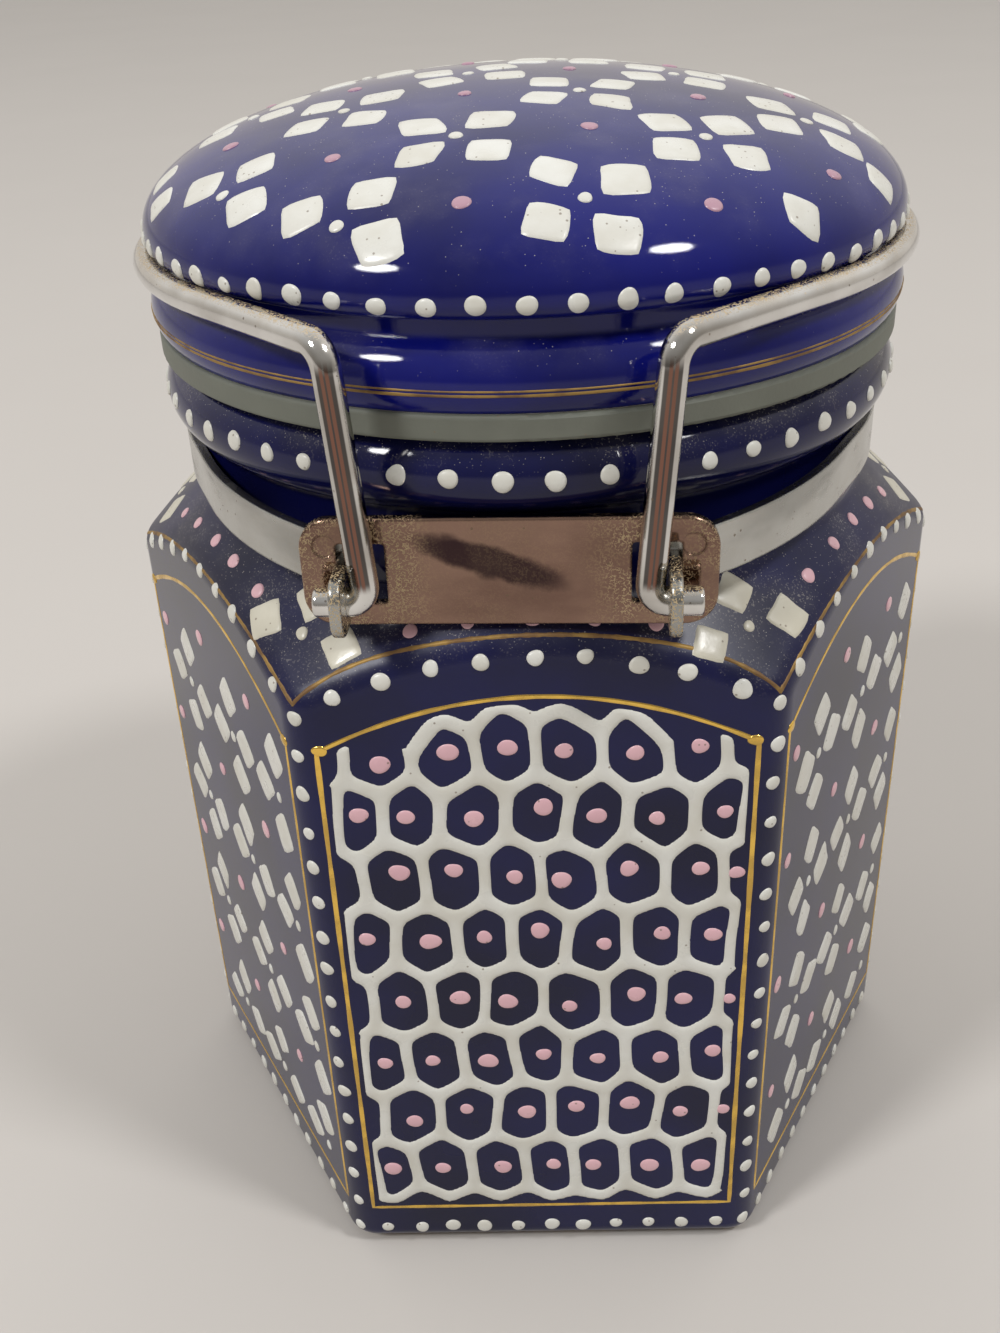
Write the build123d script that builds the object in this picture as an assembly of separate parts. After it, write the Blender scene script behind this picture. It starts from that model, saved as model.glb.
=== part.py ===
from build123d import *
import math
import os

# Glazed six-sided canister with a domed lid held by a wire bail.
# Millimetres, +Z up, origin on the table under the middle of the jar.

# Shares and angles
SIDES = 6
HALF_SHARE = 0.5
FULL_TURN = 360.0
OVAL_SHARE = 4 / 3 * (math.sqrt(2) - 1)
CLASP_TURN = -3.0
BAIL_TILT = 0.6
EYE_SWEEP = 285.0

# Jar body
ACROSS_FLATS = 101.2
CORNER_ROUND = 5.0
SHOULDER_Z = 108.31
SHOULDER_ANGLE = 43.28
ARCH_ROUND = 4.4
WALL = 5.0
FLOOR_Z = 7.0
FLOOR_ROUND = 4.0
FOOT_HEIGHT = 1.1
FOOT_INSET = 2.4
FOOT_WIDTH = 6.0
FOOT_RECESS = 1.6
BASE_ROUND = 2.2

# Neck and mouth
NECK_INSET = 4.6
NECK_RISE = 15.19
NECK_BEAD_R = 5.0
BEAD_OUT_SHARE = 0.6
RIM_SHARE = 0.96
NECK_WALL = 4.6
MOUTH_CHAMFER = 1.2
NECK_FOOT_ROUND = 2.0

# Lid and seal
SEAL_THICK = 3.1
SEAL_INSET = 0.1
SEAL_EDGE_ROUND = 0.5
SEAL_PLAY = 0.2
SPIGOT_GAP = 3.0
SPIGOT_WALL = 4.0
SPIGOT_DROP = 4.9
SPIGOT_CHAMFER = 1.1
FLANGE_ROUND = 5.1
FLANGE_OVERHANG = 0.4
FLANGE_RISE_SHARE = 0.588
GROOVE_SHARE = 0.588
LIP_STEP = 1.2
LIP_DROP = 0.1
LID_RIM_STEP = 1.4
LID_RIM_RISE = 2.2
DOME_RISE = 15.5
LID_WALL = 6.0

# Clasp sheet metal
SHEET = 1.2
BAND_LOW_GAP = 1.39
BAND_TOP_GAP = 0.92
BAND_PLAY = 0.2
BAND_LEAVE = 65.0
BAND_BOW = 55.0
PLATE_WIDTH = 47.0
PLATE_STAND = 2.2
PLATE_LOW_GAP = 0.55
PLATE_TOP_GAP = 3.6
PLATE_CORNER = 3.7
PRESS_ROUND = 0.3
WINDOW_SIDE = 4.0
WINDOW_LOW_RIM = 2.8
WINDOW_TOP_RIM = 3.0
WINDOW_ROUND = 0.5
EAR_THICK = 1.4
EAR_INSET = 5.7
EAR_REACH = 7.8
EAR_LOW_RIM = 1.6
EAR_TOP_RIM = 4.5
EAR_ROUND_SHARE = 0.36
EAR_EDGE_ROUND = 0.35
EAR_PLAY = 0.15
PIN_HEIGHT_SHARE = 0.4306
WELD_R = 1.35
WELD_DEPTH = 0.15
WELD_INSET = 2.9
WELD_DROP = 3.3

# Bail wire
WIRE_R = 1.65
PIN_FIT = 0.07
CUT_ROUND = 0.4
PIN_REACH = 3.25
PIN_TAIL = 2.45
LEG_PLAY = 0.5
LEG_SPREAD = 2.3
LEG_REACH = 2.45
LEG_BEND_PAST = 0.25
TOP_BEND_PAST = 1.25
LOOP_PLAY = 1.1
LOOP_LIFT = 0.48
NOSE_REACH = 4.5
NOSE_HALF = 11.8
NOSE_BEND_PAST = 2.65

# Keeper and latch lever
LEVER_R = 1.2
EYE_INSET = 3.6
EYE_DROP = 3.4
EYE_BEND = 5.0
JOG_OUTSET = 1.2
JOG_WIDTH = 6.7
JOG_STAND = 3.15
JOG_RISE = 1.2
JOG_BEND_PAST = 0.7
THUMB_SPREAD = 1.3
THUMB_REACH = 3.1
THUMB_LENGTH = 17.4
THUMB_BEND = 5.0
KEEPER_WIDTH = 32.0
KEEPER_LOW_RIM = 3.5
KEEPER_TOP_RIM = 1.2
KEEPER_GAP = 0.05
HOOK_WIDTH = 2.4
HOOK_PLAY = 0.12
HOOK_LIP = 1.1

# One named overrun for every cut
OVER = 2.0

# Reach within which an edge counts as lying at a height
PICK = 0.05

# Jar and neck places
TURN = FULL_TURN / SIDES
APOTHEM = ACROSS_FLATS * HALF_SHARE
POINT_R = APOTHEM / math.cos(math.pi / SIDES)
SHOULDER_SLOPE = math.tan(math.radians(SHOULDER_ANGLE))
NECK_GROOVE_R = APOTHEM - NECK_INSET
NECK_BEAD_Z = SHOULDER_Z + NECK_RISE
NECK_BEAD_REACH = NECK_GROOVE_R + NECK_BEAD_R * BEAD_OUT_SHARE
BEAD_CORE = NECK_BEAD_REACH - NECK_BEAD_R
BEAD_LOW_Z = NECK_BEAD_Z - math.sqrt(NECK_BEAD_R**2 - (NECK_GROOVE_R - BEAD_CORE) ** 2)
RIM_Z = NECK_BEAD_Z + NECK_BEAD_R * RIM_SHARE
MOUTH_R = NECK_GROOVE_R - NECK_WALL

# Lid places
SPIGOT_R = MOUTH_R - SPIGOT_GAP
SEAL_OUT_R = NECK_BEAD_REACH - SEAL_INSET
SEAL_TOP_Z = RIM_Z + SEAL_THICK
FLANGE_REACH = NECK_BEAD_REACH + FLANGE_OVERHANG
FLANGE_CORE = FLANGE_REACH - FLANGE_ROUND
FLANGE_Z = SEAL_TOP_Z + FLANGE_ROUND * FLANGE_RISE_SHARE
LID_GROOVE_R = FLANGE_REACH - FLANGE_ROUND * GROOVE_SHARE
LOOP_R = LID_GROOVE_R + LOOP_PLAY + WIRE_R
LOOP_OFF = math.sqrt((FLANGE_ROUND + WIRE_R + LOOP_LIFT) ** 2 - (LOOP_R - FLANGE_CORE) ** 2)
LOOP_Z = FLANGE_Z + LOOP_OFF
LID_LIP_R = LID_GROOVE_R + LIP_STEP
LID_LIP_Z = LOOP_Z + WIRE_R - LIP_DROP
LID_RIM_R = LID_LIP_R + LID_RIM_STEP
LID_RIM_Z = LID_LIP_Z + LID_RIM_RISE
LID_TOP_Z = LID_RIM_Z + DOME_RISE

# Band and plate places
BAND_IN_R = NECK_GROOVE_R + BAND_PLAY
BAND_MID_R = BAND_IN_R + SHEET * HALF_SHARE
BAND_OUT_R = BAND_IN_R + SHEET
BAND_LOW_Z = SHOULDER_Z + NECK_FOOT_ROUND + BAND_LOW_GAP
BAND_TOP_Z = BEAD_LOW_Z - BAND_TOP_GAP
PLATE_FRONT = BAND_OUT_R + PLATE_STAND
PLATE_BACK = PLATE_FRONT - SHEET
PLATE_LOW_Z = SHOULDER_Z - SHOULDER_SLOPE * (PLATE_BACK - NECK_GROOVE_R) + PLATE_LOW_GAP
PLATE_TOP_Z = NECK_BEAD_Z - PLATE_TOP_GAP
PLATE_HEIGHT = PLATE_TOP_Z - PLATE_LOW_Z
WINDOW_LOW_Z = PLATE_LOW_Z + WINDOW_LOW_RIM
WINDOW_HEIGHT = PLATE_TOP_Z - WINDOW_TOP_RIM - WINDOW_LOW_Z
EAR_IN = PLATE_WIDTH * HALF_SHARE - EAR_INSET
EAR_FRONT = PLATE_FRONT + EAR_REACH
EAR_LOW_Z = PLATE_LOW_Z + EAR_LOW_RIM
EAR_HEIGHT = PLATE_TOP_Z - EAR_TOP_RIM - EAR_LOW_Z
WINDOW_IN = EAR_IN - WINDOW_SIDE
WELD_X = PLATE_WIDTH * HALF_SHARE - WELD_INSET
WELD_Z = PLATE_TOP_Z - WELD_DROP

# Bail places
HINGE_Y = -PLATE_FRONT - PIN_REACH
HINGE_Z = EAR_LOW_Z + EAR_HEIGHT * PIN_HEIGHT_SHARE
PIN_END = EAR_IN + EAR_THICK + PIN_TAIL
LEG_LOW_X = EAR_IN - LEG_PLAY - WIRE_R
LEG_TOP_X = LEG_LOW_X + LEG_SPREAD
LEG_TOP_Y = -LOOP_R - LEG_REACH
LEG_BEND = WIRE_R + LEG_BEND_PAST
TOP_BEND = WIRE_R + TOP_BEND_PAST
NOSE_Y = LOOP_R + NOSE_REACH
NOSE_BEND = WIRE_R + NOSE_BEND_PAST

# Keeper and lever places
KEEPER_BACK = BAND_OUT_R + KEEPER_GAP
KEEPER_LOW_Z = BAND_LOW_Z - KEEPER_LOW_RIM
KEEPER_HEIGHT = BAND_TOP_Z + KEEPER_TOP_RIM - KEEPER_LOW_Z
EYE_X = NOSE_HALF - EYE_INSET
JOG_OUT_X = NOSE_HALF + JOG_OUTSET
JOG_IN_X = JOG_OUT_X - JOG_WIDTH
JOG_Y = KEEPER_BACK + SHEET + LEVER_R + JOG_STAND
JOG_Z = KEEPER_LOW_Z + JOG_RISE
JOG_BEND = LEVER_R + JOG_BEND_PAST
THUMB_X = JOG_IN_X + THUMB_SPREAD
THUMB_Y = JOG_Y + THUMB_REACH
THUMB_Z = JOG_Z - THUMB_LENGTH


def shoulder_z(radius):
    return SHOULDER_Z - SHOULDER_SLOPE * (radius - NECK_GROOVE_R)


def hexagon(apothem, corner):
    reach = apothem / math.cos(math.pi / SIDES)
    ring = [math.radians(TURN * i) for i in range(SIDES)]
    sketch = Polygon(*[(reach * math.cos(a), reach * math.sin(a)) for a in ring], align=None)
    return fillet(sketch.vertices(), corner)


def spin(*curves):
    outline = Curve() + list(curves)
    return revolve(Plane.XZ * make_face(outline), Axis.Z)


def quarter_oval(radius, low, high):
    rise = low + (high - low) * OVAL_SHARE
    return Bezier((radius, low), (radius, rise), (radius * OVAL_SHARE, high), (0, high))


def flat(points):
    return Polygon(*points, align=None)


def wire_solid(path, radius):
    section = Plane(origin=path @ 0, z_dir=path % 0) * Circle(radius)
    wire = sweep(section, path=path)
    ends = wire.faces().filter_by(GeomType.PLANE)
    return fillet(ends.edges(), CUT_ROUND)


# A flat stamping whose front edge is rolled over by the press
def pressed_plate(outline):
    plate = extrude(outline, SHEET)
    front = plate.faces().sort_by(Axis.Z)[-1]
    return fillet(front.outer_wire().edges(), PRESS_ROUND)


def clasp(shape):
    return Rot(Z=CLASP_TURN) * shape


# Jar: a six-sided prism trimmed by a turned shoulder, with a beaded neck on top
def make_jar():
    far_r = POINT_R + OVER
    bead_top = BEAD_CORE + math.sqrt(NECK_BEAD_R**2 - (RIM_Z - NECK_BEAD_Z) ** 2)
    prism = Pos(Z=FOOT_HEIGHT) * extrude(hexagon(APOTHEM, CORNER_ROUND), RIM_Z)
    turned = spin(
        Polyline(
            (0, RIM_Z), (0, 0), (far_r, 0), (far_r, shoulder_z(far_r)),
            (NECK_GROOVE_R, SHOULDER_Z), (NECK_GROOVE_R, BEAD_LOW_Z),
        ),
        ThreePointArc(
            (NECK_GROOVE_R, BEAD_LOW_Z), (NECK_BEAD_REACH, NECK_BEAD_Z), (bead_top, RIM_Z)
        ),
        Line((bead_top, RIM_Z), (0, RIM_Z)),
    )
    body = prism & turned
    low_z = shoulder_z(POINT_R) - OVER
    top_z = shoulder_z(APOTHEM) + OVER
    arch = [
        e for e in body.edges()
        if e.bounding_box().min.Z > low_z and e.bounding_box().max.Z < top_z
    ]
    body = fillet(arch, ARCH_ROUND)
    base = [e for e in body.edges() if e.bounding_box().max.Z < FOOT_HEIGHT + PICK]
    body = fillet(base, BASE_ROUND)
    neck_foot = [
        e for e in body.edges()
        if abs(e.center().Z - SHOULDER_Z) < PICK and e.bounding_box().size.Z < PICK
    ]
    body = fillet(neck_foot, NECK_FOOT_ROUND)
    foot = extrude(hexagon(APOTHEM - FOOT_INSET, CORNER_ROUND), FOOT_HEIGHT + OVER)
    recess = hexagon(APOTHEM - FOOT_INSET - FOOT_WIDTH, CORNER_ROUND)
    body = body + foot - extrude(recess, FOOT_RECESS)
    inner_hex = Pos(Z=FLOOR_Z) * extrude(hexagon(APOTHEM - WALL, CORNER_ROUND), RIM_Z)
    inner_drop = WALL * math.hypot(1, SHOULDER_SLOPE)
    high = RIM_Z + OVER
    inner_turned = spin(
        Polyline(
            (0, high), (0, 0), (far_r, 0), (far_r, shoulder_z(far_r) - inner_drop),
            (MOUTH_R, shoulder_z(MOUTH_R) - inner_drop), (MOUTH_R, RIM_Z - MOUTH_CHAMFER),
            (MOUTH_R + MOUTH_CHAMFER, RIM_Z), (MOUTH_R + MOUTH_CHAMFER, high), (0, high),
        )
    )
    hollow = inner_hex & inner_turned
    floor = [e for e in hollow.edges() if e.bounding_box().max.Z < FLOOR_Z + PICK]
    hollow = fillet(floor, FLOOR_ROUND)
    return body - hollow


# Lid: a turned dome over a wire groove, a round flange and a short locating spigot
def make_lid():
    groove_z = FLANGE_Z + math.sqrt(FLANGE_ROUND**2 - (LID_GROOVE_R - FLANGE_CORE) ** 2)
    foot_r = FLANGE_CORE + math.sqrt(FLANGE_ROUND**2 - (FLANGE_Z - SEAL_TOP_Z) ** 2)
    low = SEAL_TOP_Z - SPIGOT_DROP
    hole_r = SPIGOT_R - SPIGOT_WALL
    roof_z = LID_TOP_Z - LID_WALL
    spring_z = SEAL_TOP_Z + LID_WALL * HALF_SHARE
    dome = quarter_oval(LID_RIM_R, LID_RIM_Z, LID_TOP_Z)
    roof = quarter_oval(hole_r, spring_z, roof_z)
    bow = math.sqrt(HALF_SHARE)
    mid_lip = (
        LID_LIP_R + (LID_RIM_R - LID_LIP_R) * bow,
        LID_RIM_Z - (LID_RIM_Z - LID_LIP_Z) * bow,
    )
    return spin(
        dome,
        ThreePointArc((LID_RIM_R, LID_RIM_Z), mid_lip, (LID_LIP_R, LID_LIP_Z)),
        Polyline((LID_LIP_R, LID_LIP_Z), (LID_GROOVE_R, LID_LIP_Z), (LID_GROOVE_R, groove_z)),
        ThreePointArc((LID_GROOVE_R, groove_z), (FLANGE_REACH, FLANGE_Z), (foot_r, SEAL_TOP_Z)),
        Polyline(
            (foot_r, SEAL_TOP_Z), (SPIGOT_R, SEAL_TOP_Z), (SPIGOT_R, low + SPIGOT_CHAMFER),
            (SPIGOT_R - SPIGOT_CHAMFER, low), (hole_r, low), (hole_r, spring_z),
        ),
        roof,
        Line((0, roof_z), (0, LID_TOP_Z)),
    )


# Seal: a flat rubber ring round the spigot, between rim and flange
def make_seal():
    bore = SPIGOT_R + SEAL_PLAY
    ring = Pos(Z=RIM_Z) * extrude(Circle(SEAL_OUT_R) - Circle(bore), SEAL_THICK)
    circles = ring.edges().filter_by(GeomType.CIRCLE)
    outer = [e for e in circles if e.radius > SEAL_OUT_R - SEAL_PLAY]
    return fillet(outer, SEAL_EDGE_ROUND)


# Neck band: one strip round the neck, its two ends turned forward as drilled ears
def make_band():
    leave = math.radians(BAND_LEAVE)
    touch = Vector(math.sin(leave), -math.cos(leave)) * BAND_MID_R
    ahead = Vector(-math.cos(leave), -math.sin(leave))
    inward = Vector(-math.sin(leave), math.cos(leave))
    ear_end = Vector(EAR_IN + EAR_THICK * HALF_SHARE, -PLATE_BACK + SHEET * HALF_SHARE)
    pad_end = Vector(WELD_X + WELD_R, ear_end.Y)
    off = (pad_end - touch).dot(inward)
    straight = (pad_end - touch).dot(ahead) - math.sqrt(off * (BAND_BOW + BAND_BOW - off))
    bow_end = touch + ahead * straight
    side_path = Curve() + [
        Line(ear_end, pad_end), RadiusArc(pad_end, bow_end, -BAND_BOW), Line(bow_end, touch)
    ]
    round_neck = ThreePointArc(touch, (0, BAND_MID_R), (-touch.X, touch.Y))
    path = side_path + round_neck + mirror(side_path, about=Plane.YZ)
    strip = make_face(
        path.wire().offset_2d(SHEET * HALF_SHARE, kind=Kind.INTERSECTION, side=Side.BOTH)
    )
    band = Pos(Z=BAND_LOW_Z) * extrude(strip, BAND_TOP_Z - BAND_LOW_Z)
    depth = EAR_FRONT - PLATE_BACK + SHEET
    side = Pos(-EAR_FRONT, EAR_LOW_Z) * Rectangle(
        depth, EAR_HEIGHT, align=(Align.MIN, Align.MIN)
    )
    side = fillet(side.vertices().group_by(Axis.X)[0], EAR_HEIGHT * EAR_ROUND_SHARE)
    side -= Pos(HINGE_Y, HINGE_Z) * Circle(WIRE_R + PIN_FIT)
    ear = extrude(Plane.YZ * side, EAR_THICK)
    rims = [e for face in ear.faces().filter_by(Axis.X) for e in face.outer_wire().edges()]
    ear = fillet([e for e in rims if e.center().Y < -PLATE_FRONT], EAR_EDGE_ROUND)
    tail = Pos(EAR_IN, ear_end.Y, EAR_LOW_Z) * Box(
        pad_end.X - EAR_IN, SHEET, BAND_TOP_Z - EAR_LOW_Z,
        align=(Align.MIN, Align.CENTER, Align.MIN),
    )
    right = Pos(X=EAR_IN) * ear + tail
    return clasp(band + right + mirror(right, about=Plane.YZ))


# Hinge plate: a flat stamping with two windows for the ears
def make_hinge_plate():
    plate = RectangleRounded(PLATE_WIDTH, PLATE_HEIGHT, PLATE_CORNER)
    mid_z = PLATE_LOW_Z + PLATE_HEIGHT * HALF_SHARE
    window_out = EAR_IN + EAR_THICK + EAR_PLAY
    wide = window_out - WINDOW_IN
    for sign in (-1, 1):
        x = sign * (WINDOW_IN + window_out) * HALF_SHARE
        z = WINDOW_LOW_Z + WINDOW_HEIGHT * HALF_SHARE - mid_z
        plate -= Pos(x, z) * RectangleRounded(wide, WINDOW_HEIGHT, WINDOW_ROUND)
        slot_z = EAR_LOW_Z + EAR_HEIGHT * HALF_SHARE - mid_z
        ear_x = sign * (EAR_IN + EAR_THICK * HALF_SHARE)
        plate -= Pos(ear_x, slot_z) * Rectangle(
            EAR_THICK + EAR_PLAY + EAR_PLAY, EAR_HEIGHT + EAR_PLAY + EAR_PLAY
        )
    solid = pressed_plate(plate)
    for sign in (-1, 1):
        solid -= Pos(sign * WELD_X, WELD_Z - mid_z, SHEET - WELD_DEPTH) * Cylinder(
            WELD_R, OVER, align=(Align.CENTER, Align.CENTER, Align.MIN)
        )
    front = Plane(origin=(0, -PLATE_BACK, mid_z), x_dir=(1, 0, 0), z_dir=(0, -1, 0))
    return clasp(front * solid)


def loop_point(x, y):
    tilt = math.radians(BAIL_TILT)
    return (x, y * math.cos(tilt), LOOP_Z - y * math.sin(tilt))


# Bail: one wire, pinned in the ears, up both legs and round the lid groove to a flat nose
def make_bail():
    lean = math.atan2(LEG_TOP_X, -LEG_TOP_Y)
    lean += math.acos(LOOP_R / math.hypot(LEG_TOP_X, LEG_TOP_Y))
    tip = math.atan2(NOSE_HALF, NOSE_Y) + math.acos(LOOP_R / math.hypot(NOSE_HALF, NOSE_Y))
    front = (LOOP_R * math.sin(lean), -LOOP_R * math.cos(lean))
    rear = (LOOP_R * math.sin(tip), LOOP_R * math.cos(tip))
    edges = []
    for sign in (1, -1):
        leg = FilletPolyline(
            (sign * PIN_END, HINGE_Y, HINGE_Z), (sign * LEG_LOW_X, HINGE_Y, HINGE_Z),
            loop_point(sign * LEG_TOP_X, LEG_TOP_Y), loop_point(sign * front[0], front[1]),
            radius=[LEG_BEND, TOP_BEND],
        )
        side = ThreePointArc(
            loop_point(sign * front[0], front[1]), loop_point(sign * LOOP_R, 0),
            loop_point(sign * rear[0], rear[1]),
        )
        edges += leg.edges() + side.edges()
    nose = FilletPolyline(
        loop_point(*rear), loop_point(NOSE_HALF, NOSE_Y),
        loop_point(-NOSE_HALF, NOSE_Y), loop_point(-rear[0], rear[1]), radius=NOSE_BEND,
    )
    edges += nose.edges()
    return clasp(wire_solid(Wire(Wire.combine(edges)[0].edges()), WIRE_R))


# Latch lever: one wire, eyes on the bail's nose, jogs under the keeper's hooks, thumb loop below
def make_lever():
    nose = loop_point(0, NOSE_Y)
    turn_r = WIRE_R + PIN_FIT + LEVER_R
    edges = []
    for sign in (1, -1):
        x = sign * EYE_X
        outer = (x, nose[1] + turn_r, nose[2])
        half = math.radians(EYE_SWEEP * HALF_SHARE)
        full = math.radians(EYE_SWEEP)
        middle = (x, nose[1] + turn_r * math.cos(half), nose[2] + turn_r * math.sin(half))
        end = (x, nose[1] + turn_r * math.cos(full), nose[2] + turn_r * math.sin(full))
        edges += ThreePointArc(outer, middle, end).edges()
    left = [
        (-EYE_X, nose[1] + turn_r, nose[2]), (-EYE_X, nose[1] + turn_r, nose[2] - EYE_DROP),
        (-JOG_OUT_X, JOG_Y, JOG_Z), (-JOG_IN_X, JOG_Y, JOG_Z), (-THUMB_X, THUMB_Y, THUMB_Z),
    ]
    right = [(-x, y, z) for x, y, z in reversed(left)]
    bends = [EYE_BEND, JOG_BEND, JOG_BEND, THUMB_BEND]
    edges += FilletPolyline(*left, *right, radius=bends + bends[::-1]).edges()
    return clasp(wire_solid(Wire(Wire.combine(edges)[0].edges()), LEVER_R))


# Keeper: a flat plate on the band at the back, with two hooks over the lever's jogs
def make_keeper():
    back = KEEPER_BACK
    mid_z = KEEPER_LOW_Z + KEEPER_HEIGHT * HALF_SHARE
    plate = RectangleRounded(KEEPER_WIDTH, KEEPER_HEIGHT, PLATE_CORNER)
    rear = Plane(origin=(0, back, mid_z), x_dir=(-1, 0, 0), z_dir=(0, 1, 0))
    keeper = rear * pressed_plate(plate)
    low = JOG_Z + LEVER_R + HOOK_PLAY
    lip_in = JOG_Y + LEVER_R + HOOK_PLAY
    lip_out = lip_in + SHEET
    side = flat([
        (back, low), (lip_in, low), (lip_in, low - HOOK_LIP), (lip_out, low - HOOK_LIP),
        (lip_out, low + SHEET), (back, low + SHEET),
    ])
    hook = extrude(Plane.YZ * side, HOOK_WIDTH * HALF_SHARE, both=True)
    x = (JOG_OUT_X + JOG_IN_X) * HALF_SHARE
    for sign in (-1, 1):
        keeper += Pos(X=sign * x) * hook
    return clasp(keeper)


os.makedirs("parts", exist_ok=True)
export_step(make_jar(), "parts/jar_body.step")
export_step(make_lid(), "parts/lid.step")
export_step(make_seal(), "parts/seal_ring.step")
export_step(make_band(), "parts/neck_band.step")
export_step(make_hinge_plate(), "parts/hinge_plate.step")
export_step(make_bail(), "parts/bail_wire.step")
export_step(make_lever(), "parts/latch_lever.step")
export_step(make_keeper(), "parts/keeper_plate.step")
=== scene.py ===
import math
import random

import bpy
import numpy as np
from mathutils import Matrix, Vector
from mathutils.bvhtree import BVHTree


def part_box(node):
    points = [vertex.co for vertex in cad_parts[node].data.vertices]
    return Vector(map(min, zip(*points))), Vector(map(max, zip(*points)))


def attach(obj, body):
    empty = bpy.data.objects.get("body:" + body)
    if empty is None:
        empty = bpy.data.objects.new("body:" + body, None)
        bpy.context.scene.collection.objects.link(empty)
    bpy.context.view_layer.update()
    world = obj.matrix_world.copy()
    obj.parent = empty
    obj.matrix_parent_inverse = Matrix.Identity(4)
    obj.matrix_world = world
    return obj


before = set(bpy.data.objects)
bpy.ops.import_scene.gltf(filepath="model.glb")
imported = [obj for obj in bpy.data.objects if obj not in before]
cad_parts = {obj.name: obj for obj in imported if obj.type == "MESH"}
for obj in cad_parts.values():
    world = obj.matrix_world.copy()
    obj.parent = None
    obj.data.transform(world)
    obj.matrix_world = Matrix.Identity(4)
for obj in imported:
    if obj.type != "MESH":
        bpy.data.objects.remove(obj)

bl_info = {
    "name": "Clip-top canister",
    "version": (1, 0, 0),
    "blender": (4, 5, 0),
    "location": "3D View > Sidebar > Canister",
    "description": "Dresses the canister's CAD frame with glaze, enamel, gilding and metal finishes",
    "category": "Object",
}

MM = 0.001
UP = Vector((0, 0, 1))
EAST = Vector((1, 0, 0))

# The CAD box and the places that the ornaments are worked out from
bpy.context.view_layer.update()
JAR_LOW, JAR_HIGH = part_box("jar_body")
PLATE_LOW, PLATE_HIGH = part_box("hinge_plate")
LID_TOP_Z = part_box("lid")[1][2]
SEAL_TOP_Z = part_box("seal_ring")[1][2]
SIDES = 6
APOTHEM = (JAR_HIGH[1] - JAR_LOW[1]) / 2
CORNER_R = (JAR_HIGH[0] - JAR_LOW[0]) / 2
RIM_Z = JAR_HIGH[2]
SHOULDER_LEAN = math.radians(43.28)
SHOULDER_SLOPE = math.tan(SHOULDER_LEAN)
SHOULDER_Z = RIM_Z - 19.99 * MM
NECK_R = APOTHEM - 4.6 * MM
BEAD_R = 49.0 * MM
DOME_R = 49.0 * MM
DOME_RISE = 15.5 * MM
DOME_Z = LID_TOP_Z - DOME_RISE

# Directions of the front panel and of the corner to its right, and the turn from one side to the next
FRONT_DEGREES = -90
CORNER_DEGREES = -60
SIDE_DEGREES = 360 / SIDES

# Where the jar's inside, foot, glaze line and dull shoulder lie, and the lid's hollow and spigot
FLOOR_Z = 14 * MM
FOOT_Z = 3 * MM
GLAZE_LINE_Z = 1.0 * MM
GLAZE_LINE_WANDER = 0.7 * MM
HOLLOW_R = 36.5 * MM
HOLLOW_RISE = 20.5 * MM
HOLLOW_Z = SEAL_TOP_Z + 3 * MM
SPIGOT_Z = SEAL_TOP_Z + 0.05 * MM
DULL_TOP_Z = SHOULDER_Z + 0.5 * MM
DULL_LEAST_R = NECK_R - 1.0 * MM

# How far a face turns up, to the front or inwards where a finish starts, and where it is in full
DUST_UP = (0.05, 0.9)
SHOULDER_UP = (0.04, 0.3)
WIRE_UP = (0.62, 0.92)
FLOOR_UP = 0.3
LEG_FRONT = -0.3
WALL_INWARD = -3 * MM

# The painted dark reflection streak on the hinge plate: its middle, half sizes, slant and wander, from the
# plate's top middle
REFLECTION_STREAK_MIDDLE = (-2.2 * MM, -4.8 * MM)
REFLECTION_STREAK_HALF = (9.4 * MM, 2.3 * MM)
REFLECTION_STREAK_SLANT = 0.31
REFLECTION_STREAK_WANDER = 1.0 * MM
REFLECTION_STREAK_EDGE = (1.15, 0.4)

# The dusty ends of the hinge plate, by distance from its middle and by share, and the band's fainter grime
PLATE_END = (8.0 * MM, 12.5 * MM)
PLATE_END_SHARES = (0.1, 1)
BAND_GRIME_SHARE = 0.15

# The clasp's turn, where a bail leg starts, how far it leans out by height, and the painted reflection down
# its front: a dark band with a brown line in it
CLASP_TURN = math.radians(-3)
LEG_FOOT_X = 15.65 * MM
LEG_FOOT_Z = 111.3 * MM
LEG_SPLAY = 0.0793
LEG_LOW_END = (1.6 * MM, 3.0 * MM)
LEG_HIGH_END = (28.0 * MM, 26.0 * MM)
LEG_DARK_REFLECTION_EDGE = (1.02 * MM, 0.86 * MM)
LEG_BROWN_REFLECTION_OUTER = (0.55 * MM, 0.42 * MM)
LEG_BROWN_REFLECTION_INNER = (0.05 * MM, 0.15 * MM)

# How rough, shiny and metallic the finishes are, and the width over which glaze and metal edges are softened
GLAZE_ROUGH = (0.05, 0.5)
SHOULDER_ROUGH = 0.34
CLAY_ROUGH = 0.85
ENAMEL_ROUGH = (0.22, 0.4)
GILT_ROUGH = (0.2, 0.55)
GILT_METALLIC = (1.0, 0.35)
RUBBER_ROUGH = (0.5, 0.68)
DUST_ROUGH = 0.7
DUST_COVERS = (0.1, 0.9)
STAIN_ROUGH = 0.15
FLOOR_ROUGH = 0.85
GLAZE_IOR = 1.41
GLAZE_ROUND = 0.8 * MM
METAL_ROUND = 0.45 * MM
ROUND_SAMPLES = 6

# Shares by which one colour is laid over another, and what the paler and darker tones are multiplied by
AGED_SHARE = 0.45
PIT_SHARE = 0.7
BLOOM_SHARE = 0.6
# The next share lays the painted dark reflection over the bail's legs
LEG_DARK_REFLECTION_SHARE = 0.9
GATHERED_SHARE = 0.55
STAIN_SHARE = 0.7
BLOOM_TONE = 1.45
FLOOR_TONE = 0.97

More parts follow.
